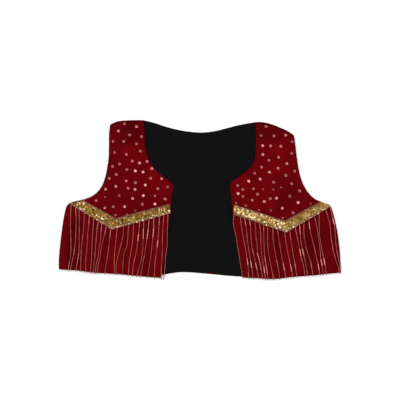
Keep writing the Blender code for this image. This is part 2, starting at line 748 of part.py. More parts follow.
def build_vest():
    """Build every piece of the vest."""
    for old in list(bpy.data.objects):
        bpy.data.objects.remove(old, do_unlink=True)

    shoulder_left, shoulder_right = Edge(SHOULDER_LEFT), Edge(SHOULDER_RIGHT)
    outer_left, outer_right = Edge(OUTER_LEFT), Edge(OUTER_RIGHT)
    inner_left, inner_right = Edge(INNER_LEFT), Edge(INNER_RIGHT)
    hem_left, hem_right = Edge(HEM_LEFT), Edge(HEM_RIGHT)
    back_top = Edge(SHOULDER_LEFT, BACK_NECK, SHOULDER_RIGHT)
    whole = back_top.lengths[-1]
    neck_shares = (
        shoulder_left.lengths[-1] / whole,
        1 - shoulder_right.lengths[-1] / whole,
    )

    velvet, lining = back_panels(back_top, Edge(BACK_HEM), outer_left, outer_right, neck_shares)
    left = front_panel(shoulder_left, hem_left, outer_left, inner_left, FOLDS_LEFT, True)
    right = front_panel(shoulder_right, hem_right, outer_right, inner_right, FOLDS_RIGHT, False)
    walls = {
        "back_velvet": velvet.build(),
        "back_lining": lining.build(),
        "front_left": left.build(),
        "front_right": right.build(),
    }
    cover = Cover(*walls.values())
    walls["band_left"] = trim_mesh(TRIM_LEFT, cover)
    walls["band_right"] = trim_mesh(TRIM_RIGHT, cover)
    walls["fringe_left"] = fringe_mesh(
        TRIM_LEFT, STRANDS_LEFT, hem_left.points, LONG_STRANDS_LEFT, cover
    )
    walls["fringe_right"] = fringe_mesh(TRIM_RIGHT, STRANDS_RIGHT, hem_right.points, {}, cover)

    finish_of = {"back": "velvet", "front": "velvet", "band": "ribbon", "fringe": "beads"}
    materials = {name: make_material(name) for name in FINISHES}
    vest = bpy.data.objects.new("vest", None)
    bpy.context.collection.objects.link(vest)
    for name, (points, faces) in walls.items():
        finish = "lining" if name == "back_lining" else finish_of[name.split("_")[0]]
        add_piece(name, points, faces, materials[finish], vest)


build_vest()
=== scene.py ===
"""Looks for the velvet vest: cloth shells, sequined V trims, bead fringes, sewn sequins and light.

The vest lies flat and face up on a pale table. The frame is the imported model's: metres, +Z up, +Y to
the neck, +X to the right as seen from above. Tables and sizes here are in millimetres in that frame,
and become metres where a mesh is made. Left and right are as seen from above.
"""

from __future__ import annotations

import logging
import math
from collections.abc import Iterable, Sequence
from dataclasses import dataclass, field
from enum import Enum

import bpy
import numpy as np
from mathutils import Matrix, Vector
from mathutils.bvhtree import BVHTree
from mathutils.kdtree import KDTree

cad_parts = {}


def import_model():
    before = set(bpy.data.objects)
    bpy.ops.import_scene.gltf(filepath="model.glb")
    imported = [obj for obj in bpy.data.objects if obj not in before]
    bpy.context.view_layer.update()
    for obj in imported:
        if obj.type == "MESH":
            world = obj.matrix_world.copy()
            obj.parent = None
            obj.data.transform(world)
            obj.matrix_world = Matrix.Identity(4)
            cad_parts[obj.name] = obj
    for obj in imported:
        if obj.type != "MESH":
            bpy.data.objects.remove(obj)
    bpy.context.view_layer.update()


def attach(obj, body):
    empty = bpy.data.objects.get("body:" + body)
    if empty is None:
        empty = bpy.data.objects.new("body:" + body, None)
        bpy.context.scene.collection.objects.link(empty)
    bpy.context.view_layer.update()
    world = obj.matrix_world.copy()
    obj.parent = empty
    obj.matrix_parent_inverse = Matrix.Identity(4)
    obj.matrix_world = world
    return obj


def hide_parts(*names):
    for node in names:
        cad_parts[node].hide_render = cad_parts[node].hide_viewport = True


LOG = logging.getLogger("velvet_vest")
MM = 0.001
BODY = "root"

Array = np.ndarray
Colour = tuple[float, float, float]
Face = tuple[int, ...]
Table = tuple[tuple[float, ...], ...]

# Outlines as (x, y), each smooth through its points
OUTER_LEFT: Table = (
    (-161.5, 135.7), (-163.4, 118.8), (-163.8, 97.2), (-164.3, 75.6), (-167.0, 57.6),
    (-170.8, 39.4), (-178.0, 22.4), (-190.2, 9.4), (-205.6, 2.2), (-222.4, -1.8),
    (-232.6, -4.8), (-239.2, -10.4), (-243.2, -23.0), (-247.3, -46.8), (-250.9, -75.6),
    (-253.4, -100.8), (-254.0, -124.7),
)
OUTER_RIGHT: Table = (
    (168.8, 116.6), (171.6, 97.2), (174.0, 77.4), (177.0, 57.6), (181.3, 39.6),
    (188.0, 23.4), (197.4, 10.1), (208.8, 0.7), (223.2, -4.9), (233.6, -9.7),
    (238.6, -21.6), (243.5, -39.6), (248.2, -64.8), (251.1, -90.0), (252.6, -111.6),
    (254.0, -130.3),
)
SHOULDER_LEFT: Table = (
    (-161.5, 135.7), (-147.6, 141.5), (-133.2, 142.9), (-115.2, 143.6), (-100.3, 143.3),
)
SHOULDER_RIGHT: Table = (
    (98.6, 139.9), (111.6, 140.0), (124.2, 137.5), (142.2, 131.0), (158.4, 123.5),
    (168.8, 116.6),
)
INNER_LEFT: Table = (
    (-100.3, 143.3), (-99.4, 118.8), (-97.9, 97.2), (-94.3, 81.0), (-88.9, 67.2),
    (-79.8, 54.4), (-66.6, 42.8), (-53.0, 33.2), (-48.3, 25.4), (-49.8, 10.8),
    (-51.8, -10.8), (-55.2, -36.0), (-59.0, -64.8), (-60.8, -90.0), (-63.4, -112.0),
    (-66.8, -126.0), (-70.8, -140.0),
)
INNER_RIGHT: Table = (
    (98.6, 139.9), (100.0, 118.8), (99.6, 93.6), (99.0, 76.5), (93.6, 63.9),
    (81.9, 51.8), (69.6, 41.4), (57.4, 33.8), (54.0, 27.4), (55.6, 7.2),
    (58.0, -18.0), (59.9, -43.2), (64.1, -72.0), (68.8, -97.2), (73.1, -118.8),
    (77.6, -139.7),
)
HEM_LEFT: Table = (
    (-254.0, -124.7), (-223.2, -126.7), (-190.8, -130.7), (-147.6, -133.2), (-104.4, -137.5),
    (-70.8, -140.0),
)
HEM_RIGHT: Table = (
    (77.6, -139.7), (104.4, -140.8), (133.2, -142.2), (165.6, -138.6), (208.8, -135.0),
    (254.0, -130.3),
)
BACK_NECK: Table = (
    (-100.3, 143.3), (-82.8, 139.0), (-61.2, 131.9), (-39.6, 126.4), (-18.0, 122.9),
    (3.6, 121.5), (25.2, 123.7), (46.8, 128.9), (68.4, 134.5), (98.6, 139.9),
)
BACK_HEM: Table = (
    (-254.0, -124.7), (-180.0, -127.8), (-108.0, -133.2), (-72.0, -135.4), (-54.0, -132.2),
    (-32.4, -129.8), (3.6, -131.9), (39.6, -135.4), (77.4, -137.8), (135.0, -138.6),
    (198.0, -133.7), (254.0, -130.3),
)

# Soft folds and creases: (start x, start y, end x, end y, half width, height)
FOLDS_LEFT: Table = (
    (-236, -25, -243, -160, 11.0, 1.6),
    (-196, -30, -203, -165, 13.0, 2.2),
    (-152, -45, -158, -170, 12.0, 1.8),
    (-116, -30, -124, -175, 12.0, 2.3),
    (-76, -15, -86, -180, 10.0, 1.6),
    (-152, 128, -110, 62, 13.0, 1.3),
    (-176, 48, -118, 4, 14.0, 1.2),
)
CREASES_LEFT: Table = (
    (-218, -14, -222, -104, 4.5, -0.7),
    (-176, -44, -184, -150, 5.0, -0.9),
    (-136, -46, -140, -128, 4.0, -0.7),
    (-98, -34, -103, -170, 5.0, -0.9),
    (-160, 96, -128, 82, 4.0, 0.5),
    (-158, 62, -112, 40, 5.0, 0.6),
    (-190, 6, -150, -22, 4.5, -0.5),
    (-92, 56, -66, 8, 6.0, 0.6),
    (-128, 16, -84, -12, 5.0, -0.5),
)
FOLDS_RIGHT: Table = (
    (78, -20, 94, -180, 10.0, 1.7),
    (112, -30, 124, -180, 12.0, 2.3),
    (154, -45, 164, -175, 12.0, 1.8),
    (196, -30, 210, -170, 13.0, 2.2),
    (232, -25, 244, -165, 11.0, 1.5),
    (152, 112, 112, 58, 13.0, 1.3),
    (184, 42, 122, 2, 14.0, 1.2),
)
CREASES_RIGHT: Table = (
    (96, -28, 110, -150, 5.0, -0.8),
    (134, -42, 142, -176, 5.0, -0.9),
    (176, -44, 186, -132, 4.5, -0.8),
    (214, -20, 226, -158, 5.0, -0.7),
    (164, 88, 128, 72, 4.5, 0.5),
    (170, 56, 118, 44, 5.0, 0.6),
    (196, 4, 158, -20, 4.5, -0.5),
    (98, 52, 72, 6, 6.0, 0.6),
    (140, 12, 96, -14, 5.0, -0.5),
)
WRINKLES_LINING: Table = (
    (-36, 104, 44, 60, 11.0, 0.9),
    (-34, 40, 50, -14, 13.0, 0.8),
    (40, 20, -46, -74, 13.0, 1.0),
    (-26, -70, 58, -120, 12.0, 0.8),
    (-80, 118, 30, 92, 5.0, 0.5),
    (-20, 84, 70, 96, 5.0, 0.4),
    (-44, -20, 36, -52, 5.0, 0.5),
    (0, -30, 20, -128, 6.0, 0.4),
    (-46, -108, 20, -96, 5.0, 0.4),
    (60, 120, 34, 34, 6.0, 0.5),
)
# Small waves of the cloth: (waves per mm in x, in y, phase, height)
RIPPLES: Table = (
    (0.016, 0.007, 0.4, 0.16),
    (-0.011, 0.019, 1.9, 0.14),
    (0.034, -0.013, 4.1, 0.08),
    (0.021, 0.041, 2.7, 0.07),
    (0.071, 0.023, 5.2, 0.04),
    (-0.047, 0.066, 0.9, 0.04),
)

# Brushed streaks in the pile, partly painted shade and painted light that follow the folds and the
# shade beside the strands: (start x, start y, end x, end y, half width, lighter or darker)
NAP_AND_SHADE_LEFT: Table = (
    (-247, -10, -250, -150, 9.0, 0.10),
    (-229, -10, -232, -150, 5.0, -0.22),
    (-214, -20, -219, -150, 6.0, -0.26),
    (-202, -30, -206, -150, 6.0, 0.26),
    (-192, -34, -196, -150, 4.5, -0.24),
    (-181, -40, -186, -150, 5.0, 0.22),
    (-170, -46, -176, -160, 5.0, -0.26),
    (-150, -52, -156, -160, 8.0, 0.26),
    (-133, -48, -138, -160, 6.0, -0.26),
    (-121, -44, -126, -160, 6.0, 0.22),
    (-94, -34, -100, -165, 8.0, -0.28),
    (-76, -28, -82, -165, 7.0, 0.26),
    (-130, 160, -126, 92, 24.0, -0.34),
    (-140, 92, -104, 70, 16.0, 0.16),
    (-92, 50, -66, 10, 13.0, 0.24),
    (-170, 22, -126, -8, 14.0, -0.14),
    (-228, -28, -236, -150, 11.0, -0.32),
    (-176, -44, -181, -165, 7.0, 0.26),
    (-141, -58, -147, -170, 6.0, 0.28),
    (-103, -46, -107, -170, 7.0, 0.32),
    (-92, -30, -98, -160, 5.0, 0.10),
)
NAP_AND_SHADE_RIGHT: Table = (
    (76, -30, 82, -165, 7.0, 0.26),
    (92, -36, 98, -165, 6.0, 0.22),
    (108, -40, 114, -165, 7.0, 0.28),
    (122, -46, 128, -165, 5.0, -0.26),
    (136, -50, 142, -165, 6.0, -0.24),
    (154, -54, 160, -165, 8.0, 0.26),
    (174, -48, 180, -165, 6.0, 0.20),
    (190, -40, 196, -165, 8.0, -0.30),
    (206, -32, 212, -160, 6.0, 0.20),
    (230, -20, 238, -160, 7.0, 0.24),
    (240, -30, 248, -160, 4.0, -0.22),
    (130, 150, 124, 100, 20.0, -0.26),
    (146, 110, 148, 40, 20.0, 0.26),
    (120, 70, 124, -20, 18.0, 0.20),
    (150, -30, 160, -175, 60.0, -0.16),
    (86, 44, 66, 6, 13.0, 0.24),
    (176, 24, 132, -8, 14.0, -0.14),
    (84, -34, 96, -170, 14.0, -0.30),
    (126, -48, 134, -170, 8.0, 0.36),
    (207, -40, 214, -165, 7.0, -0.34),
    (186, -50, 192, -165, 5.0, 0.16),
    (232, -34, 241, -160, 9.0, -0.26),
)

# Sewn sequins of the two fronts: (x, y, how light), where how light paints how much each sequin glints
SEQUINS_LEFT: Table = (
    (-135.6, 137.2, 0.45), (-114, 131.8, 0.65), (-146.4, 124.1, 0.60), (-126.6, 116.5, 0.45),
    (-105.1, 113.9, 0.50), (-155.7, 105.3, 0.35), (-136.9, 105, 0.50), (-114.2, 101, 0.35),
    (-107.1, 87.6, 0.50), (-153.3, 85.7, 0.30), (-132.3, 82, 0.45), (-121.6, 70, 0.50),
    (-108.7, 66.6, 0.75), (-95.1, 69.3, 0.65), (-144.5, 64.8, 0.45), (-156.6, 60.5, 0.50),
    (-131.4, 54.5, 0.40), (-116.1, 52.4, 0.95), (-102.3, 50.4, 0.85), (-86.5, 56.6, 0.65),
    (-150.5, 45.9, 0.50), (-162.8, 38.8, 0.50), (-132.5, 34.5, 0.55), (-115.8, 31.3, 0.50),
    (-98.2, 27.1, 0.90), (-88.7, 39, 0.50), (-69.1, 38, 0.60), (-150.9, 24.7, 0.70),
    (-169.2, 19.5, 0.65), (-129.2, 21.3, 0.50), (-116.6, 19.2, 0.80), (-75.8, 20.6, 0.50),
    (-58.4, 23.3, 0.35), (-145, 8.2, 0.30), (-170.2, 5.4, 0.10), (-121, 2.9, 0.75),
    (-101.8, 7.8, 0.95), (-81, 7.6, 0.25), (-62.5, 2, 0.65), (-186.4, -1, 0.40),
    (-103.3, -7.2, 0.40), (-80.8, -7.1, 1.00), (-170.8, -14, 0.50), (-155.7, -11.8, 0.35),
    (-135.2, -11.8, 0.80), (-115.9, -18.7, 0.05), (-152, -27, 0.25), (-130.9, -26, 0.15),
)
SEQUINS_RIGHT: Table = (
    (118.4, 132.3, 0.45), (109.7, 115.8, 0.30), (132.7, 115.1, 0.40), (153.8, 116.5, 0.65),
    (165.6, 104.8, 0.35), (112.5, 97.6, 0.80), (126.7, 97.2, 0.60), (145.1, 96.3, 0.60),
    (112.8, 81.7, 0.70), (164.5, 83.7, 0.50), (141, 76.6, 0.60), (123.5, 71.1, 0.45),
    (155.6, 65.3, 0.65), (110.4, 59.3, 0.50), (140, 56.9, 0.55), (169.9, 51.5, 0.50),
    (97.7, 48.1, 0.35), (124.6, 50, 0.70), (154.1, 44.2, 0.50), (107.9, 37.6, 0.80),
    (87.4, 33.9, 1.00), (132.2, 32.1, 0.50), (164.5, 29.5, 0.40), (67.4, 25.9, 0.50),
    (145.5, 22.9, 0.12), (113.2, 19.4, 0.08), (131.5, 19.1, 0.08), (76.7, 19, 0.40),
    (96, 20.1, 0.50), (178.9, 16.2, 0.50), (68.4, 11.8, 0.90), (103.1, 10.5, 0.50),
    (77, 6.6, 0.35), (161.2, 7.1, 0.35), (93.4, -0.3, 0.50), (126.1, 2.6, 0.50),
    (137.1, 3.1, 0.85), (115.5, -2.7, 0.75), (176.1, -4.5, 1.00), (198.5, -6.8, 0.08),
    (65.1, -5.4, 0.20), (82.2, -9.9, 0.20), (105.7, -18, 0.12), (127.3, -18.3, 0.15),
    (147.7, -14.8, 0.80), (167, -22.6, 0.50), (148.4, -32.6, 0.20),
)

# The heights where a strand's place is given
STRAND_HEIGHTS = (-45.0, -63.0, -81.0, -99.0, -117.0)
# Strands: x at the root, at each of those five heights, and at the hem
STRANDS_LEFT: Table = (
    (-231.2, -232.6, -231.5, -231.5, -231.8, -235.1, -237.2),
    (-223.2, -222.3, -222.8, -224.3, -226.8, -230.8, -233.8),
    (-217.1, -216.7, -216.7, -216.9, -217.8, -221.0, -223.0),
    (-207.7, -207.9, -210.2, -212.0, -213.1, -214.0, -214.9),
    (-198.5, -199.4, -201.6, -202.1, -204.3, -205.0, -204.7),
    (-191.0, -191.2, -192.8, -193.7, -194.2, -195.8, -196.9),
    (-182.3, -183.6, -185.8, -186.7, -188.5, -190.4, -190.8),
    (-176.0, -176.2, -178.0, -180.0, -182.5, -186.1, -187.9),
    (-167.9, -167.9, -171.7, -176.0, -179.3, -182.5, -184.5),
    (-160.2, -160.2, -161.3, -163.1, -165.6, -169.0, -171.7),
    (-148.5, -148.5, -149.6, -151.4, -153.2, -153.9, -153.7),
    (-137.5, -137.5, -138.2, -142.0, -147.1, -150.7, -150.1),
    (-128.0, -128.0, -129.6, -131.0, -137.5, -138.2, -139.5),
    (-119.2, -119.2, -119.9, -121.7, -124.9, -127.1, -129.1),
    (-108.7, -108.9, -110.3, -112.0, -115.7, -119.3, -121.3),
    (-100.6, -101.0, -101.9, -102.1, -104.0, -107.3, -114.3),
    (-91.1, -91.8, -94.0, -96.7, -100.1, -103.5, -106.9),
    (-83.0, -83.3, -84.4, -86.0, -88.0, -90.7, -94.1),
    (-72.5, -73.1, -74.5, -76.5, -78.7, -81.2, -81.9),
    (-64.6, -65.9, -67.1, -67.9, -68.0, -69.7, -69.5),
    (-57.6, -58.1, -59.0, -59.0, -61.9, -62.5, -65.3),
)
STRANDS_RIGHT: Table = (
    (61.4, 59.3, 64.8, 66.8, 70.6, 73.1, 76.5),
    (72.2, 74.0, 77.0, 80.6, 83.0, 86.4, 87.5),
    (79.7, 82.1, 84.1, 86.4, 89.3, 92.0, 96.3),
    (88.9, 90.4, 90.9, 92.5, 96.5, 100.8, 105.8),
    (98.5, 99.0, 100.3, 102.1, 104.2, 108.4, 112.9),
    (106.7, 107.1, 109.1, 109.1, 110.9, 113.9, 118.1),
    (114.1, 114.1, 115.0, 115.0, 115.9, 118.6, 122.0),
    (121.3, 121.3, 121.3, 121.5, 123.7, 126.9, 132.8),
    (130.7, 130.7, 130.9, 132.5, 136.1, 139.9, 143.3),
    (139.5, 139.5, 140.6, 143.3, 146.0, 150.1, 153.9),
    (151.9, 151.9, 152.5, 155.2, 158.8, 162.5, 167.0),
    (160.6, 160.6, 161.8, 164.5, 167.0, 171.0, 174.4),
    (170.3, 170.3, 173.7, 177.7, 180.7, 185.6, 188.5),
    (178.6, 178.6, 180.5, 182.3, 186.5, 190.4, 193.3),
    (186.5, 186.3, 186.5, 189.2, 194.8, 199.4, 203.0),
    (195.1, 196.0, 199.4, 203.9, 208.1, 212.0, 216.0),
    (204.8, 209.2, 212.0, 214.6, 215.9, 218.9, 221.4),
    (213.5, 214.2, 214.8, 217.3, 220.3, 224.6, 226.6),
    (225.0, 233.3, 234.9, 237.4, 241.4, 247.0, 250.4),
    (233.0, 241.0, 242.8, 243.9, 247.0, 251.4, 252.8),
)
# Tubes that catch the light: (strand, y of the tube's middle, how light)
SHINES_LEFT: Table = (
    (1, -22, 0.6), (1, -94, 0.6), (2, -27, 0.5), (2, -102, 0.6), (4, -38, 0.6), (5, -42, 0.5),
    (6, -47, 0.6), (7, -51, 0.6), (8, -56, 0.6), (9, -62, 0.6), (10, -63, 0.4), (14, -68, 0.9),
    (15, -44, 0.5), (15, -64, 0.8), (16, -46, 0.6), (16, -65, 0.9), (17, -43, 0.6),
    (17, -62, 0.8), (18, -40, 0.6), (18, -79, 0.9), (19, -37, 0.5), (19, -72, 0.5),
    (20, -36, 0.5), (0, -116, 0.5),
)
SHINES_RIGHT: Table = (
    (1, -36, 0.5), (1, -111, 0.8), (2, -40, 0.6), (2, -116, 0.9), (3, -120, 0.8), (4, -102, 0.8),
    (4, -121, 0.6), (5, -126, 0.9), (6, -108, 0.6), (6, -128, 0.6), (8, -114, 0.6),
    (9, -121, 0.8), (10, -122, 0.8), (11, -65, 0.5), (11, -118, 0.6), (12, -58, 0.5),
    (12, -95, 0.9), (13, -56, 0.7), (13, -94, 0.9), (14, -50, 0.5), (15, -47, 0.8),
    (15, -121, 0.8), (16, -113, 0.9), (17, -111, 1.0), (19, -39, 0.8),
)

# Stones and sequins of the trims that catch the light: (x, y, radius, how light)
SPARKS_LEFT: Table = (
    (-208.7, -6.7, 1.7, 0.95), (-215.4, -6.8, 2.2, 0.10), (-219.9, -8.6, 1.4, 0.45),
    (-214.2, -16.0, 1.7, 0.80), (-206.9, -16.9, 1.5, 0.55), (-191.2, -14.5, 1.6, 0.60),
    (-185.8, -27.2, 1.4, 0.60), (-184.6, -35.0, 1.3, 0.85), (-176.1, -33.2, 1.7, 0.95),
    (-168.9, -33.2, 1.3, 0.65), (-173.7, -41.0, 1.2, 0.55), (-149.6, -37.4, 1.4, 0.75),
    (-148.4, -47.8, 1.6, 0.95), (-126.7, -42.4, 1.4, 0.80), (-127.9, -35.6, 1.3, 0.60),
    (-113.4, -39.8, 1.3, 0.75), (-102.6, -36.2, 1.6, 0.95), (-87.5, -32.2, 1.3, 0.80),
    (-84.5, -27.2, 1.2, 0.70), (-68.8, -18.1, 1.4, 0.50), (-66.4, -24.8, 1.5, 0.85),
    (-55.8, -19.4, 2.4, 0.55), (-157.0, -50.6, 1.4, 0.12),
)
SPARKS_RIGHT: Table = (
    (76.9, -16.9, 1.9, 0.85), (85.6, -19.9, 1.9, 0.90), (95.6, -22.9, 1.5, 0.70),
    (110.7, -26.6, 1.8, 0.95), (119.1, -30.2, 1.7, 0.85), (132.4, -40.4, 1.7, 0.80),
    (146.2, -39.8, 1.8, 0.90), (70.9, -19.3, 1.5, 0.70), (78.7, -24.2, 1.9, 0.95),
    (88.4, -27.2, 1.9, 1.00), (98.0, -30.8, 2.0, 1.00), (105.8, -35.6, 1.7, 0.80),
    (115.5, -39.2, 1.9, 0.95), (139.6, -42.8, 1.9, 1.00), (143.2, -48.9, 1.9, 1.00),
    (69.7, -22.9, 1.5, 0.75), (82.9, -29.6, 1.6, 0.90), (92.6, -33.2, 1.5, 0.85),
    (119.1, -45.0, 1.6, 0.85), (137.2, -50.4, 1.7, 0.95), (154.7, -55.0, 1.7, 0.75),
    (103.4, -28.4, 1.4, 0.25), (126.4, -41.0, 1.6, 0.25), (124.0, -36.4, 1.4, 0.60),
    (167.3, -48.3, 1.5, 0.85), (205.3, -16.9, 1.5, 0.70), (212.2, -23.6, 1.3, 0.70),
    (224.0, -16.4, 1.2, 0.75), (196.9, -31.6, 1.2, 0.50),
)


class Side(Enum):
    """The vest's two sides, as seen from above."""

    LEFT = "left"
    RIGHT = "right"


class Border(Enum):
    """The four borders of a panel's grid."""

    TOP = "top"
    EAST = "east"
    HEM = "hem"
    WEST = "west"


class Gold(Enum):
    """The gold finishes of the trims, beads and sequins."""

    RIBBON = "ribbon cloth"
    RIBBON_SEQUIN = "ribbon sequin"
    COPPER_SEQUIN = "copper sequin"
    EDGE_BEAD = "edge bead"
    CUP_SEQUIN = "cup sequin"
    TUBE_BEAD = "tube bead"
    SEED_BEAD = "seed bead"


def smoothstep(value: Array | float) -> Array:
    """Return 0 below 0, 1 above 1 and an S curve between them."""
    share = np.clip(value, 0.0, 1.0)
    return share * share * (3.0 - 2.0 * share)


def clamp(value: float) -> float:
    """Return a value held between 0 and 1."""
    return float(np.clip(value, 0.0, 1.0))


def unit(vector: Array) -> Array:
    """Return the vector at length 1."""
    return vector / max(float(np.linalg.norm(vector)), 1e-12)


def sway(rng: np.random.Generator, amount: float) -> Array:
    """Return a small random lean in plan, of about an amount."""
    return amount * np.array([*rng.normal(0.0, 1.0, 2), 0.0])


def fold_height(points: Array, folds: Table, fade: float = 0.28) -> Array:
    """Return what a table of soft ridges and troughs adds at each point.

    Args:
        points: plan points, one row each.
        folds: rows of start x, start y, end x, end y, half width and height.
        fade: the share of a fold's length over which it rises and dies away.

    Returns:
        One height for each point.
    """
    total = np.zeros(len(points))
    for start_x, start_y, end_x, end_y, half_width, height in folds:
        start = np.array([start_x, start_y])
        run = np.array([end_x, end_y]) - start
        length = float(np.linalg.norm(run))
        along = (points - start) @ run / length**2
        aside = ((points - start) @ np.array([-run[1], run[0]])) / length
        window = smoothstep(along / fade) * smoothstep((1.0 - along) / fade)
        total += height * window * np.exp(-((aside / half_width) ** 2))
    return total


def ripple_height(points: Array) -> Array:
    """Return the small uneven waves of cloth that has been worn and laid down.

    Args:
        points: plan points, one row each.

    Returns:
        One height for each point.
    """
    total = np.zeros(len(points))
    for wave_x, wave_y, phase, height in RIPPLES:
        total += height * np.sin(2 * math.pi * (wave_x * points[:, 0] + wave_y * points[:, 1]) + phase)
    return total


class Edge:
    """A smooth curve in plan, read by the share of its length."""

    SAMPLES = 40

    def __init__(self, *tables: Sequence[Sequence[float]]) -> None:
        """Join one or more tables of points, each smooth in itself.

        Args:
            *tables: rows of x and y, each table from where the one before it ends.
        """
        runs = [self._smooth(table) for table in tables]
        self.points = np.vstack([runs[0]] + [run[1:] for run in runs[1:]])
        steps = np.linalg.norm(np.diff(self.points, axis=0), axis=1)
        self.lengths = np.concatenate([[0.0], np.cumsum(steps)])

    @property
    def length(self) -> float:
        """The curve's whole length."""
        return float(self.lengths[-1])

    def _smooth(self, table: Sequence[Sequence[float]]) -> Array:
        """Return a dense cubic curve through a table of points.

        Args:
            table: rows of x and y.

        Returns:
            The curve's points.
        """
        knots = np.array(table, float)
        gaps = np.linalg.norm(np.diff(knots, axis=0), axis=1)
        times = np.concatenate([[0.0], np.cumsum(np.sqrt(gaps))])
        slopes = np.gradient(knots, times, axis=0)
        share = np.linspace(0.0, 1.0, self.SAMPLES, endpoint=False)[:, None]
        runs = []
        for n in range(len(knots) - 1):
            span = times[n + 1] - times[n]
            runs.append(
                (2 * share**3 - 3 * share**2 + 1) * knots[n]
                + (share**3 - 2 * share**2 + share) * span * slopes[n]
                + (3 * share**2 - 2 * share**3) * knots[n + 1]
                + (share**3 - share**2) * span * slopes[n + 1]
            )
        return np.vstack(runs + [knots[-1:]])

    def at(self, share: float | Array) -> Array:
        """Return the point or points at a share of the length.

        Args:
            share: one share from 0 to 1, or several.

        Returns:
            One point, or a row for each share.
        """
        along = np.asarray(share) * self.length
        x = np.interp(along, self.lengths, self.points[:, 0])
        y = np.interp(along, self.lengths, self.points[:, 1])
        return np.stack([x, y], axis=-1)

    def outward(self, share: float, turn: int) -> Array:
        """Return the unit normal that points out of the outline.

        Args:
            share: a share of the length.
            turn: 1 where the outside is left of the way along, or else -1.

        Returns:
            The normal's x and y.
        """
        reach = 0.004
        step = self.at(min(share + reach, 1.0)) - self.at(max(share - reach, 0.0))
        return unit(np.array([-step[1], step[0]]) * turn)

    def part(self, low: float, high: float) -> Array:
        """Return the dense points between two shares of the length."""
        return self.at(np.linspace(low, high, len(self.points)))


class LineField:
    """The distance in plan from any point to a dense line."""

    def __init__(self, line: Array) -> None:
        """Keep the line's points in a search tree.

        Args:
            line: its points, one row each.
        """
        self.tree = KDTree(len(line))
        for n, (x, y) in enumerate(line):
            self.tree.insert((x, y, 0.0), n)
        self.tree.balance()

    def distance(self, points: Array) -> Array:
        """Return each point's distance to the line."""
        return np.array([self.tree.find((x, y, 0.0))[2] for x, y in points])


class Shape:
    """Points, faces, material slots and tones of one piece, gathered part by part."""

    def __init__(self) -> None:
        """Start with nothing."""
        self.points: list[Array] = []
        self.tones: list[Array] = []
        self.faces: list[Face] = []
        self.slots: list[int] = []
        self.count = 0

    def add(self, points: Array, faces: Iterable[Face], slot: int = 0,
            tone: float | Array = 0.5) -> None:
        """Add one part.

        Args:
            points: its points in millimetres.
            faces: its faces, numbered from its own first point.
            slot: the material slot of its faces.
            tone: one value from 0 to 1 for the part, or one for each point.
        """
        moved = [tuple(self.count + index for index in face) for face in faces]
        self.points.append(np.asarray(points, float))
        self.tones.append(np.broadcast_to(np.asarray(tone, float), (len(points),)))
        self.faces += moved
        self.slots += [slot] * len(moved)
        self.count += len(points)

    def put(self, form: Form, at: Array, up: Array, aim: Array, slot: int = 0,
            tone: float = 0.5, scale: float = 1.0) -> None:
        """Add a small form at a place.

        Args:
            form: the form.
            at: where its own zero goes.
            up: the way its Z axis points.
            aim: the way its X axis points, as near as it goes.
            slot: the material slot of its faces.
            tone: its tone, from 0 to 1.
            scale: its size against the form's own.
        """
        self.add(form.placed(at, up, aim, scale), form.faces, slot, tone)

    def make(self, name: str, materials: Sequence[bpy.types.Material], sharp: float = 40.0,
             slot: str | None = None, replaces: str | None = None) -> bpy.types.Object:
        """Make the object, let it ride on the body and return it.

        Args:
            name: the piece's name.
            materials: one for each material slot.
            sharp: the angle in degrees over which an edge is shaded sharp.
            slot: the record's material slot; not used.
            replaces: the solid that it stands for, if it does.

        Returns:
            The new object.
        """
        mesh = bpy.data.meshes.new(name)
        mesh.from_pydata((np.vstack(self.points) * MM).tolist(), [], self.faces)
        mesh.polygons.foreach_set("material_index", self.slots)
        tones = mesh.attributes.new("tone", "FLOAT", "POINT")
        tones.data.foreach_set("value", np.concatenate(self.tones).astype(np.float32))
        for material in materials:
            mesh.materials.append(material)
        mesh.shade_smooth()
        mesh.set_sharp_from_angle(angle=math.radians(sharp))
        mesh.update()
        piece = bpy.data.objects.new(name, mesh)
        bpy.context.scene.collection.objects.link(piece)
        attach(piece, BODY)
        if replaces:
            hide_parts(replaces)
        LOG.info("%s: %d triangles", name, sum(len(face) - 2 for face in self.faces))
        return piece


@dataclass(frozen=True)
class Form:
    """A small shape that is placed many times: its points and faces round its own Z axis."""

    points: Array
    faces: tuple[Face, ...]

    def placed(self, at: Array, up: Array, aim: Array, scale: float = 1.0) -> Array:
        """Move, turn and scale the form.

        Args:
            at: where the form's own zero goes.
            up: the way its Z axis points.
            aim: the way its X axis points, as near as it goes.
            scale: its size against the form's own.

        Returns:
            The moved points.
        """
        third = unit(up)
        first = unit(aim - third * float(aim @ third))
        second = np.cross(third, first)
        return self.points * scale @ np.array([first, second, third]) + at

    def stretched(self, length: float) -> Form:
        """Return the form with its heights times a length."""
        return Form(self.points * [1.0, 1.0, length], self.faces)


def lathe(profile: Sequence[tuple[float, float]], sides: int, loop: bool = True,
          twist: float = 0.0) -> Form:
    """Turn a profile round Z into a closed form.

    Args:
        profile: rows of radius and height. On a loop they go round the wall's section with the
            outside walked upwards; otherwise they run up from the bottom cap to the top cap.
        sides: how many flats the form has.
        loop: whether the profile closes on itself, as a ring's does.
        twist: how far the last row is turned against the first, in degrees.

    Returns:
        The form, with its faces pointing out.
    """
    points = []
    for n, (radius, height) in enumerate(profile):
        turn = math.radians(twist) * n / max(len(profile) - 1, 1)
        for side in range(sides):
            angle = 2 * math.pi * side / sides + turn
            points.append((radius * math.cos(angle), radius * math.sin(angle), height))
    rows = len(profile)
    faces: list[Face] = []
    for n in range(rows if loop else rows - 1):
        after = (n + 1) % rows
        for side in range(sides):
            beside = (side + 1) % sides
            faces.append((
                n * sides + side, n * sides + beside, after * sides + beside, after * sides + side,
            ))
    if not loop:
        faces.append(tuple(range(sides - 1, -1, -1)))
        faces.append(tuple(range((rows - 1) * sides, rows * sides)))
    return Form(np.array(points), tuple(faces))


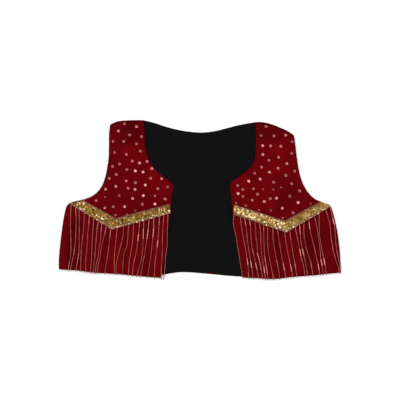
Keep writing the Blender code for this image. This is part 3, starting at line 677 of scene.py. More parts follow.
def grid_faces(rows: int, columns: int) -> list[Face]:
    """Return the faces of a grid of points, row by row."""
    starts = [row * columns + column for row in range(rows - 1) for column in range(columns - 1)]
    return [(first, first + columns, first + columns + 1, first + 1) for first in starts]


def under_faces(faces: Iterable[Face], base: int) -> list[Face]:
    """Return the same faces seen from below, on the points that start at a base."""
    return [tuple(base + index for index in reversed(face)) for face in faces]


def pairs(loop: Sequence[int]) -> Iterable[tuple[int, int]]:
    """Return each index of a closed loop with the one after it."""
    return zip(loop, [*loop[1:], loop[0]])


def rim_faces(loop: Sequence[int], base: int) -> list[Face]:
    """Return the faces between a loop and the same loop on the points that start at a base."""
    return [(here, after, base + after, base + here) for here, after in pairs(loop)]


def loop_rim(rows: int, columns: int) -> list[int]:
    """Walk round a grid of points that are numbered row by row.

    Args:
        rows: how many rows it has.
        columns: how many columns.

    Returns:
        The numbers of the border's points, each once.
    """
    loop = list(range(columns))
    loop += [row * columns + columns - 1 for row in range(1, rows)]
    loop += [(rows - 1) * columns + column for column in range(columns - 2, -1, -1)]
    loop += [row * columns for row in range(rows - 2, 0, -1)]
    return loop


def grid_wall(above: Array, below: Array) -> tuple[Array, list[Face]]:
    """Close two grids of points into a thin wall.

    Args:
        above: the upper layer, as rows from west to east of points from south to north.
        below: the lower layer, laid out the same way.

    Returns:
        The wall's points and faces.
    """
    rows, columns = above.shape[:2]
    base = rows * columns
    upper = grid_faces(rows, columns)
    points = np.vstack([above.reshape(-1, 3), below.reshape(-1, 3)])
    rim = rim_faces(loop_rim(rows, columns), base)
    return points, upper + under_faces(upper, base) + rim


@dataclass(frozen=True)
class Turning:
    """How a wall ends at a place on its outline."""

    curl: float
    inset: float = 0.0


@dataclass
class ClothPanel:
    """A cut piece of cloth: a grid inside rings that follow its outline, given a thickness."""

    name: str
    top: Edge
    hem: Edge
    west: Edge
    east: Edge
    wall: float
    curl_radius: float
    rise: int
    cell: float
    rings: int = 6

    # An open edge: how thin it starts, as a share of the wall, and the half walls it rounds off in
    LIP = 0.25
    LIP_REACH = 1.6
    # The step in plan over which a slope is measured
    SLOPE_STEP = 0.4

    def turning(self, border: Border, share: float) -> Turning:
        """Return how the wall ends at a place on its outline."""
        raise NotImplementedError

    def middle(self, points: Array) -> Array:
        """Return the height of the wall's middle at plan points."""
        raise NotImplementedError

    def tone(self, points: Array) -> Array:
        """Return how light the pile is at plan points, from its brushing and from painted shade and
        light, from 0 to 1.
        """
        return np.full(len(points), 0.5)

    def edge(self, border: Border) -> Edge:
        """Return the outline's edge at a border.

        Args:
            border: which of the four.

        Returns:
            The edge.
        """
        return {
            Border.TOP: self.top, Border.HEM: self.hem,
            Border.WEST: self.west, Border.EAST: self.east,
        }[border]

    def rim_rows(self, turning: Turning) -> Array:
        """Work out the wall's section at its edge.

        A turned seam bends the wall through a quarter circle, and an open edge closes it with
        a half round lip. A place between the two takes a share of each.

        Args:
            turning: how the wall ends there.

        Returns:
            Rows from the edge inwards: inset, drop, tilt and thickness.
        """
        steps = np.arange(self.rings + 1) / self.rings
        bend = (1 - steps) * math.pi / 2
        seam = np.stack([
            self.wall / 2 + self.curl_radius * (1 - np.sin(bend)),
            self.curl_radius * (1 - np.cos(bend)),
            bend,
            np.full_like(bend, self.wall),
        ], axis=1)
        half = self.wall / 2
        first = math.asin(self.LIP)
        round_off = first + (math.pi / 2 - first) * steps
        open_edge = np.stack([
            half * self.LIP_REACH * (1 - np.cos(round_off)),
            np.zeros_like(bend),
            np.zeros_like(bend),
            self.wall * np.sin(round_off),
        ], axis=1)
        rows = turning.curl * seam + (1 - turning.curl) * open_edge
        rows[:, 0] += turning.inset
        return rows

    def places(self, across: Array, down: Array) -> list[tuple[tuple[int, int], list]]:
        """Walk round the outline, cell by cell of the grid.

        Args:
            across: the shares at the grid's columns.
            down: the shares at its rows.

        Returns:
            Each cell of the loop, with one (border, share, turn) row or, at a corner, two.
        """
        last_row, last_column = len(down) - 1, len(across) - 1
        loop = []
        for column, share in enumerate(across):
            sides = [(Border.TOP, share, 1)]
            if column == 0:
                sides.append((Border.WEST, 0.0, -1))
            if column == last_column:
                sides.append((Border.EAST, 0.0, 1))
            loop.append(((0, column), sides))
        for row in range(1, last_row):
            loop.append(((row, last_column), [(Border.EAST, down[row], 1)]))
        for column in range(last_column, -1, -1):
            sides = [(Border.HEM, across[column], -1)]
            if column == 0:
                sides.append((Border.WEST, 1.0, -1))
            if column == last_column:
                sides.append((Border.EAST, 1.0, 1))
            loop.append(((last_row, column), sides))
        for row in range(last_row - 1, 0, -1):
            loop.append(((row, 0), [(Border.WEST, down[row], -1)]))
        return loop

    def rim_at(self, sides: list) -> tuple[Array, Array, Array, Array]:
        """Work out a place's rim.

        Args:
            sides: its (border, share, turn) rows.

        Returns:
            Its plan points, outward leans, drops and thicknesses, from the edge inwards.
        """
        rows = [self.rim_rows(self.turning(border, share)) for border, share, _ in sides]
        normals = [self.edge(border).outward(share, turn) for border, share, turn in sides]
        corner = self.edge(sides[0][0]).at(sides[0][1])
        lead = int(np.argmax([row[0, 2] for row in rows]))
        if len(sides) == 1:
            shifts = -normals[0][None, :] * rows[0][:, :1]
        else:
            insets = np.stack([rows[0][:, 0], rows[1][:, 0]])
            shifts = -np.linalg.solve(np.array(normals), insets).T
        thickness = np.min([row[:, 3] for row in rows], axis=0)
        leans = normals[lead][None, :] * rows[lead][:, 2:3]
        return corner + shifts, leans, rows[lead][:, 1], thickness

    def surface(self, plan: Array) -> tuple[Array, Array]:
        """Return the middle's height and slope at plan points.

        Args:
            plan: the points, a row each.

        Returns:
            The heights, and the slopes in x and y.
        """
        shifts = self.SLOPE_STEP * np.array([[0, 0], [1, 0], [-1, 0], [0, 1], [0, -1]])
        heights = self.middle((plan[None] + shifts[:, None]).reshape(-1, 2))
        here, east, west, north, south = heights.reshape(len(shifts), -1)
        return here, np.column_stack([east - west, north - south]) / (2 * self.SLOPE_STEP)

    def build(self, under_slot: int = 0) -> Shape:
        """Build the wall.

        Args:
            under_slot: the material slot of the lower layer inside the turned edge.

        Returns:
            The shape, its upper layer and edges in slot 0.
        """
        across = np.linspace(0, 1, max(int(max(self.top.length, self.hem.length) / self.cell), 2))
        down = np.linspace(0, 1, max(int(max(self.west.length, self.east.length) / self.cell), 2))
        rows, columns = len(down), len(across)
        places = self.places(across, down)
        rims = [self.rim_at(sides) for _, sides in places]

        grid = np.zeros((rows, columns, 2))
        for (cell, _), rim in zip(places, rims):
            grid[cell] = rim[0][-1]
        u, v = across[None, :, None], down[:, None, None]
        corners = (
            (1 - u) * (1 - v) * grid[0, 0] + u * (1 - v) * grid[0, -1]
            + (1 - u) * v * grid[-1, 0] + u * v * grid[-1, -1]
        )
        blend = (
            (1 - v) * grid[None, 0] + v * grid[None, -1]
            + (1 - u) * grid[:, None, 0] + u * grid[:, None, -1] - corners
        )
        grid[1:-1, 1:-1] = blend[1:-1, 1:-1]

        inside = rows * columns
        stacks = [[grid.reshape(-1, 2)], [np.zeros((inside, 2))], [np.zeros(inside)],
                  [np.full(inside, self.wall)]]
        for ring in range(self.rings - 1, -1, -1):
            for kind, stack in enumerate(stacks):
                stack.append(np.array([rim[kind][ring] for rim in rims]))
        plan, leans, drops, walls = (np.concatenate(stack) for stack in stacks)

        height, slope = self.surface(plan)
        tilt = np.linalg.norm(leans, axis=1)
        lean = -self.rise * leans * (np.sin(tilt) / np.maximum(tilt, 1e-9))[:, None]
        normals = np.column_stack([lean - slope * np.cos(tilt)[:, None], np.cos(tilt)])
        normals /= np.linalg.norm(normals, axis=1)[:, None]
        middle = np.column_stack([plan, height + self.rise * drops])
        half = normals * walls[:, None] / 2
        tones = self.tone(plan)
        shape = Shape()
        self._add_faces(shape, np.vstack([middle + half, middle - half]),
                        np.concatenate([tones, tones]), places, rows, columns, under_slot)
        return shape

    def _add_faces(self, shape: Shape, points: Array, tones: Array, places: list,
                   rows: int, columns: int, under_slot: int) -> None:
        """Add the two layers and the rim between them to a shape.

        Args:
            shape: what they are added to.
            points: the upper layer's points and then the lower layer's.
            tones: a tone for each point.
            places: the cells of the grid's border, in order.
            rows: the grid's rows.
            columns: its columns.
            under_slot: the material slot of the lower layer inside the turned edge.
        """
        inner_faces = grid_faces(rows, columns)
        inner = [row * columns + column for (row, column), _ in places]
        base, count = rows * columns, len(places)
        ring_faces: list[Face] = []
        for _ in range(self.rings):
            outer = list(range(base, base + count))
            for (near, near_after), (far, far_after) in zip(pairs(inner), pairs(outer)):
                ring_faces.append((far, near, near_after, far_after))
            inner = outer
            base += count
        edge_faces = under_faces(ring_faces, base) + rim_faces(inner, base)
        shape.add(points, inner_faces + ring_faces + edge_faces, tone=tones)
        under = under_faces(inner_faces, base)
        shape.faces += under
        shape.slots += [under_slot] * len(under)


@dataclass(frozen=True)
class Layers:
    """The heights of the vest's layers over the table."""

    gap: float = 0.3
    back_wall: float = 1.5
    lining_wall: float = 1.0
    front_wall: float = 2.0
    loft: float = 1.5
    seam_height: float = 3.3
    seam_gap: float = 0.1

    @property
    def back_middle(self) -> float:
        """The middle of the velvet back."""
        return self.back_wall / 2

    @property
    def lining_middle(self) -> float:
        """The middle of the back lining."""
        return self.back_wall + self.gap + self.lining_wall / 2

    @property
    def front_middle(self) -> float:
        """The middle of a front at its open edges."""
        return self.lining_middle + self.lining_wall / 2 + self.gap + self.front_wall / 2

    @property
    def front_curl(self) -> float:
        """The radius that a front's seam edge turns down through."""
        return self.front_middle + self.loft - self.seam_height - self.seam_gap / 2

    @property
    def back_curl(self) -> float:
        """The radius that the back's seam edge turns up through."""
        return self.seam_height - self.seam_gap / 2 - self.back_middle


LAYERS = Layers()


@dataclass
class FrontPanel(ClothPanel):
    """A velvet front with its folds, its brushed pile with painted shade and light, and the dimples of
    its sequins.
    """

    # Shares of the outer edge at which the side seam starts to turn and is wholly turned
    UNDERARM = 0.605
    SIDE_SEAM = 0.635
    # How far in from an open edge the cloth reaches its loft
    EDGE_ROLL = 14.0
    # How far from a seam the folds start, and how much further in they have their full height
    SEAM_ROLL_START = 4.0
    SEAM_ROLL = 16.0
    # The ridge along the turned-in open edges: how far in, its reach and its height
    TURNED_IN = 3.15
    TURNED_REACH = 2.45
    TURNED_HEIGHT = 0.28
    DIMPLE_DEPTH = 0.25
    DIMPLE_REACH = 2.4
    # The share of a streak's length over which it fades in and out
    NAP_FADE = 0.18
    # Painted shade on the pile where it rolls away at the open edges and the seams: how much and its
    # reach
    OPEN_SHADE = (0.30, 2.2)
    SEAM_SHADE = (0.22, 3.0)

    outer_border: Border = Border.WEST
    folds: Table = ()
    creases: Table = ()
    nap_and_shade: Table = ()
    sequins: Table = ()
    open_field: LineField = field(init=False)
    seam_field: LineField = field(init=False)

    def __post_init__(self) -> None:
        """Prepare the distances to the open edges and to the seams."""
        outer = self.edge(self.outer_border)
        inner = self.east if self.outer_border is Border.WEST else self.west
        self.open_field = LineField(
            np.vstack([inner.points, self.hem.points, outer.part(0.0, self.UNDERARM)])
        )
        self.seam_field = LineField(
            np.vstack([self.top.points, outer.part(self.SIDE_SEAM, 1.0)])
        )

    def turning(self, border: Border, share: float) -> Turning:
        """Return a turned seam at the shoulder and side, and an open lip elsewhere.

        Args:
            border: which of the four.
            share: how far along it, from 0 to 1.

        Returns:
            How the wall ends there.
        """
        if border is Border.TOP:
            return Turning(1.0)
        if border is self.outer_border:
            seam = (share - self.UNDERARM) / (self.SIDE_SEAM - self.UNDERARM)
            return Turning(float(smoothstep(seam)))
        return Turning(0.0)

    def middle(self, points: Array) -> Array:
        """Return the height of the front's middle.

        Args:
            points: plan points, one row each.

        Returns:
            One height for each point.
        """
        to_open = self.open_field.distance(points)
        to_seam = self.seam_field.distance(points)
        roll = smoothstep(to_open / self.EDGE_ROLL)
        seam = 1 - smoothstep((to_seam - self.SEAM_ROLL_START) / self.SEAM_ROLL)
        free = 1 - seam
        height = LAYERS.front_middle + LAYERS.loft * (1 - (1 - roll) * free)
        height += fold_height(points, self.folds) * free
        crease = fold_height(points, self.creases) + ripple_height(points)
        height += crease * free * roll
        turned = np.exp(-((to_open - self.TURNED_IN) / self.TURNED_REACH) ** 2)
        height += self.TURNED_HEIGHT * turned * free
        return height + self.dimples(points) * free

    def dimples(self, points: Array) -> Array:
        """Return the small hollows where the sequins are sewn down.

        Args:
            points: plan points, one row each.

        Returns:
            One height for each point, 0 or less.
        """
        total = np.zeros(len(points))
        for x, y, _ in self.sequins:
            square = (points[:, 0] - x) ** 2 + (points[:, 1] - y) ** 2
            total -= self.DIMPLE_DEPTH * np.exp(-square / self.DIMPLE_REACH**2)
        return total

    def tone(self, points: Array) -> Array:
        """Return the brushed streaks of the pile with their painted shade and light, and painted shade
        along the rolled edges.

        Args:
            points: plan points, one row each.

        Returns:
            One tone for each point, from 0 to 1.
        """
        # Streaks of brushed pile with painted shade and light, then painted shade along the rolled
        # edges
        tone = 0.5 + fold_height(points, self.nap_and_shade, self.NAP_FADE)
        shades = ((self.open_field, self.OPEN_SHADE), (self.seam_field, self.SEAM_SHADE))
        for line, (shade, reach) in shades:
            tone -= shade * np.exp(-((line.distance(points) / reach) ** 2))
        return np.clip(tone, 0.0, 1.0)


@dataclass
class BackPanel(ClothPanel):
    """The velvet back, flat on the table and turned up at its seams."""

    # How far the back's armholes lie inside the fronts'
    ARMHOLE_INSET = 1.0

    neck_shares: tuple[float, float] = (0.0, 1.0)

    def is_shoulder(self, share: float) -> bool:
        """Return whether a share of the top edge is on a shoulder seam."""
        return share <= self.neck_shares[0] or share >= self.neck_shares[1]

    def turning(self, border: Border, share: float) -> Turning:
        """Return a turned seam at shoulders and sides, and an open lip elsewhere.

        Args:
            border: which of the four.
            share: how far along it, from 0 to 1.

        Returns:
            How the wall ends there.
        """
        if border is Border.TOP:
            return Turning(1.0 if self.is_shoulder(share) else 0.0)
        if border is Border.HEM:
            return Turning(0.0)
        span = FrontPanel.SIDE_SEAM - FrontPanel.UNDERARM
        curl = float(smoothstep((share - FrontPanel.UNDERARM) / span))
        return Turning(curl, self.ARMHOLE_INSET * (1 - curl))

    def middle(self, points: Array) -> Array:
        """Return the flat height of the back's middle."""
        return np.full(len(points), LAYERS.back_middle)


@dataclass
class LiningPanel(BackPanel):
    """The black lining of the back, well inside the turned seams."""

    # How far inside the outline it ends, at seams and armholes and at its open edges
    SEAM_INSET = 3.8
    OPEN_INSET = 0.3
    # Where the velvet shows past the lining's hem: middle and reach as shares, and how far
    PEEK = (0.545, 0.046, 2.2)
    # Where the wrinkles show between the fronts: half the width, and the fade past it
    SHOWN = (52.0, 30.0)
    # How far the ripples are raised before what is below 0 is cut off
    RIPPLE_LIFT = 0.2

    def turning(self, border: Border, share: float) -> Turning:
        """Return a plain lip, further in at the seams, at the armholes and where velvet shows.

        Args:
            border: which of the four.
            share: how far along it, from 0 to 1.

        Returns:
            How the wall ends there.
        """
        if border is Border.HEM:
            middle, reach, depth = self.PEEK
            inset = self.OPEN_INSET + depth * float(1 - smoothstep(abs(share - middle) / reach))
        elif border is Border.TOP and not self.is_shoulder(share):
            inset = self.OPEN_INSET
        else:
            inset = self.SEAM_INSET
        return Turning(0.0, inset)

    def middle(self, points: Array) -> Array:
        """Return the height of the lining's middle, with its faint wrinkles.

        Args:
            points: plan points, one row each.

        Returns:
            One height for each point.
        """
        half, fade = self.SHOWN
        shown = 1 - smoothstep((np.abs(points[:, 0]) - half) / fade)
        fine = np.maximum(ripple_height(points) + self.RIPPLE_LIFT, 0.0) * shown
        return LAYERS.lining_middle + fold_height(points, WRINKLES_LINING) * shown + fine


class Cover:
    """The highest cloth at a place in plan, and the way it faces."""

    # The height that rays come down from
    SKY = 60.0

    def __init__(self) -> None:
        """Start with the bare table."""
        self.trees: list[BVHTree] = []

    def lay(self, shape: Shape) -> None:
        """Add a cloth to what lies on the table."""
        points = [Vector(point) for point in np.vstack(shape.points)]
        self.trees.append(BVHTree.FromPolygons(points, shape.faces))

    def hit(self, x: float, y: float) -> tuple[float, Array]:
        """Find the highest cloth at a point.

        Args:
            x: the point's x in plan.
            y: its y.

        Returns:
            The height, and the cloth's unit normal.
        """
        start, down = Vector((x, y, self.SKY)), Vector((0.0, 0.0, -1.0))
        best, facing = 0.0, np.array([0.0, 0.0, 1.0])
        for tree in self.trees:
            place, normal, _, _ = tree.ray_cast(start, down)
            if place is not None and place.z > best:
                best, facing = place.z, np.array(normal)
        return best, facing

    def height(self, x: float, y: float, reach: float) -> float:
        """Return the greatest height within a small reach of a point.

        Args:
            x: the point's x in plan.
            y: its y.
            reach: how far round it to look.

        Returns:
            The height.
        """
        steps = ((0, 0), (1, 0), (-1, 0), (0, 1), (0, -1))
        return max(self.hit(x + right * reach, y + up * reach)[0] for right, up in steps)


class Sketch:
    """Adds and links nodes in one node tree."""

    def __init__(self, tree: bpy.types.NodeTree) -> None:
        """Keep the tree."""
        self.tree = tree

    def add(self, kind: str, inputs: dict | None = None, **settings: object) -> bpy.types.Node:
        """Add a node.

        Args:
            kind: the node's type name.
            inputs: values or sockets for its inputs, by name or number.
            settings: the node's own properties.

        Returns:
            The new node.
        """
        node = self.tree.nodes.new(kind)
        for name, value in settings.items():
            setattr(node, name, value)
        for name, value in (inputs or {}).items():
            if isinstance(value, bpy.types.NodeSocket):
                self.tree.links.new(value, node.inputs[name])
            else:
                node.inputs[name].default_value = value
        return node

    def maths(self, operation: str, *values: object) -> bpy.types.NodeSocket:
        """Add a Math node and return its result."""
        node = self.add("ShaderNodeMath", dict(enumerate(values)), operation=operation)
        return node.outputs[0]

    def group(self, tree: bpy.types.NodeTree, **inputs: float) -> bpy.types.NodeOutputs:
        """Place a node group with its own values and return its outputs."""
        return self.add("ShaderNodeGroup", inputs, node_tree=tree).outputs

    def place(self) -> bpy.types.NodeSocket:
        """Return the place on the object."""
        return self.add("ShaderNodeTexCoord").outputs["Object"]

    def tone(self) -> bpy.types.NodeSocket:
        """Return the tone that the mesh's points carry."""
        return self.add("ShaderNodeAttribute", attribute_name="tone").outputs["Fac"]

    def noise(self, scale: object, detail: float, roughness: float = 0.5) -> bpy.types.NodeSocket:
        """Add a noise over the object and return its value."""
        inputs = {"Vector": self.place(), "Scale": scale, "Detail": detail, "Roughness": roughness}
        return self.add("ShaderNodeTexNoise", inputs).outputs[0]

    def mix(self, share: object, first: object, second: object) -> bpy.types.NodeSocket:
        """Mix two colours by a share.

        Args:
            share: how much of the second.
            first: a colour or a socket.
            second: another one.

        Returns:
            The mixed colour's socket.
        """
        node = self.add("ShaderNodeMix", data_type="RGBA")
        for index, value in ((0, share), (6, first), (7, second)):
            if isinstance(value, bpy.types.NodeSocket):
                self.tree.links.new(value, node.inputs[index])
            elif index:
                node.inputs[index].default_value = (*value, 1.0)
            else:
                node.inputs[index].default_value = value
        return node.outputs[2]


class Effects:
    """The node groups that more than one finish uses, each built once."""

    # What the grain of a bead's surface adds to its roughness
    GRAIN_ROUGH = 0.18

    def __init__(self) -> None:
        """Build the groups."""
        self.patches = self._patches()
        self.weave = self._weave()
        self.glint = self._glint()

    @staticmethod
    def _group(name: str, ins: dict[str, float], outs: Sequence[str]) -> tuple:
        """Start a node group with named inputs and outputs, all of them numbers.

        Args:
            name: its name.
            ins: its inputs' names and usual values.
            outs: its outputs' names.

        Returns:
            Its tree, a sketch of it, and its input and output nodes.
        """
        tree = bpy.data.node_groups.new(name, "ShaderNodeTree")
        for label, value in ins.items():
            socket = tree.interface.new_socket(label, in_out="INPUT", socket_type="NodeSocketFloat")
            socket.default_value = value
        for label in outs:
            tree.interface.new_socket(label, in_out="OUTPUT", socket_type="NodeSocketFloat")
        sketch = Sketch(tree)
        return tree, sketch, sketch.add("NodeGroupInput"), sketch.add("NodeGroupOutput")

    def _patches(self) -> bpy.types.NodeTree:
        """Build uneven patches of two sizes, as brushed pile and rubbed cloth show them.

        Returns:
            The group's tree.
        """
        tree, sketch, given, result = self._group(
            "uneven patches", {"Large": 14.0, "Small": 90.0, "Share": 0.35}, ["Value"])
        large = sketch.noise(given.outputs["Large"], detail=3.0, roughness=0.55)
        small = sketch.noise(given.outputs["Small"], detail=2.0, roughness=0.6)
        part = sketch.maths("MULTIPLY", small, given.outputs["Share"])
        rest = sketch.maths("SUBTRACT", 1.0, given.outputs["Share"])
        both = sketch.maths("ADD", sketch.maths("MULTIPLY", large, rest), part)
        tree.links.new(both, result.inputs["Value"])
        return tree

    def _weave(self) -> bpy.types.NodeTree:
        """Build the height of crossing threads.

        Returns:
            The group's tree.
        """
        tree, sketch, given, result = self._group("woven threads", {"Threads": 1500.0}, ["Height"])
        split = sketch.add("ShaderNodeSeparateXYZ", {0: sketch.place()})
        waves = []
        for axis in ("X", "Y"):
            turn = sketch.maths("MULTIPLY", split.outputs[axis], given.outputs["Threads"])
            waves.append(sketch.maths("ABSOLUTE", sketch.maths("SINE", turn)))
        tree.links.new(sketch.maths("MAXIMUM", *waves), result.inputs["Height"])
        return tree

    def _glint(self) -> bpy.types.NodeTree:
        """Build each bead's or sequin's tone, its own colour or a painted glint, with a little wear
        inside it.

        Returns:
            The group's tree.
        """
        tree, sketch, given, result = self._group(
            "bead tones", {"Wear": 0.2, "Grain": 900.0, "Matt": 0.12},
            ["Tone", "Low", "High", "Rough"],
        )
        grain = sketch.noise(given.outputs["Grain"], detail=1.0)
        wear = sketch.maths("MULTIPLY", sketch.maths("SUBTRACT", grain, 0.5), given.outputs["Wear"])
        worn = sketch.maths("ADD", sketch.tone(), wear)
        mixed = sketch.add("ShaderNodeClamp", {0: worn}).outputs[0]
        twice = sketch.maths("MULTIPLY", mixed, 2.0)
        low = sketch.maths("MINIMUM", twice, 1.0)
        high = sketch.maths("MAXIMUM", sketch.maths("SUBTRACT", twice, 1.0), 0.0)
        for label, value in (("Tone", mixed), ("Low", low), ("High", high)):
            tree.links.new(value, result.inputs[label])
        rough = sketch.maths("MULTIPLY_ADD", grain, self.GRAIN_ROUGH, given.outputs["Matt"])
        tree.links.new(rough, result.inputs["Rough"])
        return tree


def new_material(name: str) -> tuple[bpy.types.Material, Sketch, bpy.types.Node]:
    """Start a material.

    Args:
        name: its name.

    Returns:
        The material, a sketch of its tree and its Principled shader.
    """
    material = bpy.data.materials.new(name)
    material.use_nodes = True
    tree = material.node_tree
    return material, Sketch(tree), tree.nodes["Principled BSDF"]


def bump(sketch: Sketch, shader: bpy.types.Node, height: bpy.types.NodeSocket,
         strength: float, distance: float) -> None:
    """Feed a height into the shader's normal through a Bump node.

    Args:
        sketch: the material's nodes.
        shader: its shader.
        height: the height's socket.
        strength: how strongly it is felt.
        distance: how deep it is, in metres.
    """
    node = sketch.add("ShaderNodeBump", {"Height": height, "Strength": strength,
                                         "Distance": distance})
    sketch.tree.links.new(node.outputs["Normal"], shader.inputs["Normal"])


@dataclass(frozen=True)
class VelvetFinish:
    """Dark red cotton velvet: a short pile that is lighter where it is brushed over, and painted
    lighter and darker where light and shade fall on it.
    """

    name: str = "velvet"
    # From deep to brushed and lit: the tone between them paints brushed pile, shade and light
    deep: Colour = (0.052, 0.0004, 0.0016)
    brushed_and_lit: Colour = (0.138, 0.0012, 0.0032)
    sheen: float = 0.12
    specular: float = 0.012
    unevenness: float = 1.1
    pile_scale: float = 1400.0

    def make(self, effects: Effects) -> bpy.types.Material:
        """Make the material.

        Args:
            effects: the shared node groups.

        Returns:
            The material.
        """
        material, sketch, shader = new_material(self.name)
        patches = sketch.group(effects.patches, Large=16.0, Small=240.0, Share=0.45)["Value"]
        uneven = sketch.maths("MULTIPLY", sketch.maths("SUBTRACT", patches, 0.5), self.unevenness)
        tone = sketch.maths("ADD", sketch.tone(), uneven)
        share = sketch.add("ShaderNodeClamp", {0: tone}).outputs[0]
        colour = sketch.mix(share, self.deep, self.brushed_and_lit)
        sketch.tree.links.new(colour, shader.inputs["Base Color"])
        pile = sketch.noise(self.pile_scale, detail=2.0)
        bump(sketch, shader, pile, strength=0.35, distance=0.0004)
        shader.inputs["Roughness"].default_value = 0.95
        shader.inputs["Specular IOR Level"].default_value = self.specular
        shader.inputs["Sheen Weight"].default_value = self.sheen
        shader.inputs["Sheen Roughness"].default_value = 0.35
        shader.inputs["Sheen Tint"].default_value = (0.9, 0.02, 0.04, 1.0)
        return material


@dataclass(frozen=True)
class LiningFinish:
    """Black plain-woven lining, matt, with a faint cold sheen."""

    name: str = "lining"
    dark: Colour = (0.0029, 0.0026, 0.0026)
    light: Colour = (0.0042, 0.0041, 0.0050)

    def make(self, effects: Effects) -> bpy.types.Material:
        """Make the material.

        Args:
            effects: the shared node groups.

        Returns:
            The material.
        """
        material, sketch, shader = new_material(self.name)
        patches = sketch.group(effects.patches, Large=9.0, Small=60.0, Share=0.3)["Value"]
        sketch.tree.links.new(sketch.mix(patches, self.dark, self.light),
                              shader.inputs["Base Color"])
        weave = sketch.group(effects.weave, Threads=7000.0)["Height"]
        bump(sketch, shader, weave, strength=0.25, distance=0.00015)
        shader.inputs["Roughness"].default_value = 0.62
        shader.inputs["Specular IOR Level"].default_value = 0.02
        return material


@dataclass(frozen=True)
class GoldFinish:
    """A metallic gold whose pieces differ in tone, from deep through middle to light; a piece's tone
    is its own colour or a painted glint where it catches the light.
    """

    kind: Gold
    deep: Colour
    middle: Colour
    light: Colour
    metallic: float = 1.0
    matt: float = 0.12
    wear: float = 0.2
    woven: bool = False

    def make(self, effects: Effects) -> bpy.types.Material:
        """Make the material.

        Args:
            effects: the shared node groups.

        Returns:
            The material.
        """
        material, sketch, shader = new_material(self.kind.value)
        glint = sketch.group(effects.glint, Wear=self.wear, Matt=self.matt)
        low = sketch.mix(glint["Low"], self.deep, self.middle)
        sketch.tree.links.new(sketch.mix(glint["High"], low, self.light),
                              shader.inputs["Base Color"])
        sketch.tree.links.new(glint["Rough"], shader.inputs["Roughness"])
        shader.inputs["Metallic"].default_value = self.metallic
        if self.woven:
            weave = sketch.group(effects.weave, Threads=4200.0)["Height"]
            bump(sketch, shader, weave, strength=0.5, distance=0.0002)
        return material


@dataclass(frozen=True)
class StoneFinish:
    """Pale foil-backed glass of the small stones in the ribbon, painted from warm to a light glint as
    each catches the light.
    """

    name: str = "small stones"
    warm: Colour = (0.44, 0.20, 0.07)
    glinting: Colour = (0.92, 0.82, 0.58)

    def make(self, effects: Effects) -> bpy.types.Material:
        """Make the material.

        Args:
            effects: the shared node groups.

        Returns:
            The material.
        """
        material, sketch, shader = new_material(self.name)
        tone = sketch.group(effects.glint, Wear=0.1)["Tone"]
        # From warm to a painted glint, by how much each stone catches the light
        sketch.tree.links.new(sketch.mix(tone, self.warm, self.glinting),
                              shader.inputs["Base Color"])
        shader.inputs["Metallic"].default_value = 0.7
        shader.inputs["Roughness"].default_value = 0.08
        shader.inputs["Coat Weight"].default_value = 0.6
        return material


@dataclass(frozen=True)
class ThreadFinish:
    """The dark red sewing thread of stitches and bead strings."""

    name: str = "red thread"
    colour: Colour = (0.10, 0.003, 0.006)
    worn: Colour = (0.16, 0.01, 0.01)

    def make(self, effects: Effects) -> bpy.types.Material:
        """Make the material.

        Args:
            effects: the shared node groups.

        Returns:
            The material.
        """
        material, sketch, shader = new_material(self.name)
        patches = sketch.group(effects.patches, Large=300.0, Small=2500.0, Share=0.5)["Value"]
        sketch.tree.links.new(sketch.mix(patches, self.colour, self.worn),
                              shader.inputs["Base Color"])
        shader.inputs["Roughness"].default_value = 0.7
        shader.inputs["Specular IOR Level"].default_value = 0.25
        return material


class Wardrobe:
    """Every material of the vest, made once."""

    def __init__(self) -> None:
        """Build the shared effects and the materials."""
        effects = Effects()
        self.velvet = VelvetFinish().make(effects)
        self.lining = LiningFinish().make(effects)
        self.stone = StoneFinish().make(effects)
        self.red_thread = ThreadFinish().make(effects)
        self.gold = {
            finish.kind: finish.make(effects)
            for finish in (
                GoldFinish(Gold.RIBBON, (0.06, 0.024, 0.008), (0.13, 0.06, 0.016),
                           (0.28, 0.15, 0.05), metallic=0.5, matt=0.30, woven=True),
                GoldFinish(Gold.RIBBON_SEQUIN, (0.046, 0.017, 0.003), (0.180, 0.112, 0.014),
                           (0.66, 0.49, 0.22), matt=0.28),
                GoldFinish(Gold.COPPER_SEQUIN, (0.05, 0.014, 0.003), (0.26, 0.100, 0.022),
                           (0.62, 0.34, 0.12), matt=0.28),
                GoldFinish(Gold.EDGE_BEAD, (0.17, 0.060, 0.026), (0.40, 0.175, 0.085),
                           (0.88, 0.58, 0.42), metallic=0.8, matt=0.30),
                GoldFinish(Gold.CUP_SEQUIN, (0.21, 0.050, 0.042), (0.43, 0.120, 0.112),
                           (0.79, 0.345, 0.335), metallic=0.9, matt=0.34),
                GoldFinish(Gold.TUBE_BEAD, (0.25, 0.043, 0.037), (0.51, 0.118, 0.102),
                           (0.97, 0.48, 0.38), metallic=0.8, matt=0.22),
                GoldFinish(Gold.SEED_BEAD, (0.16, 0.034, 0.022), (0.34, 0.095, 0.070),
                           (0.80, 0.50, 0.42), metallic=0.8, matt=0.25),
            )
        }


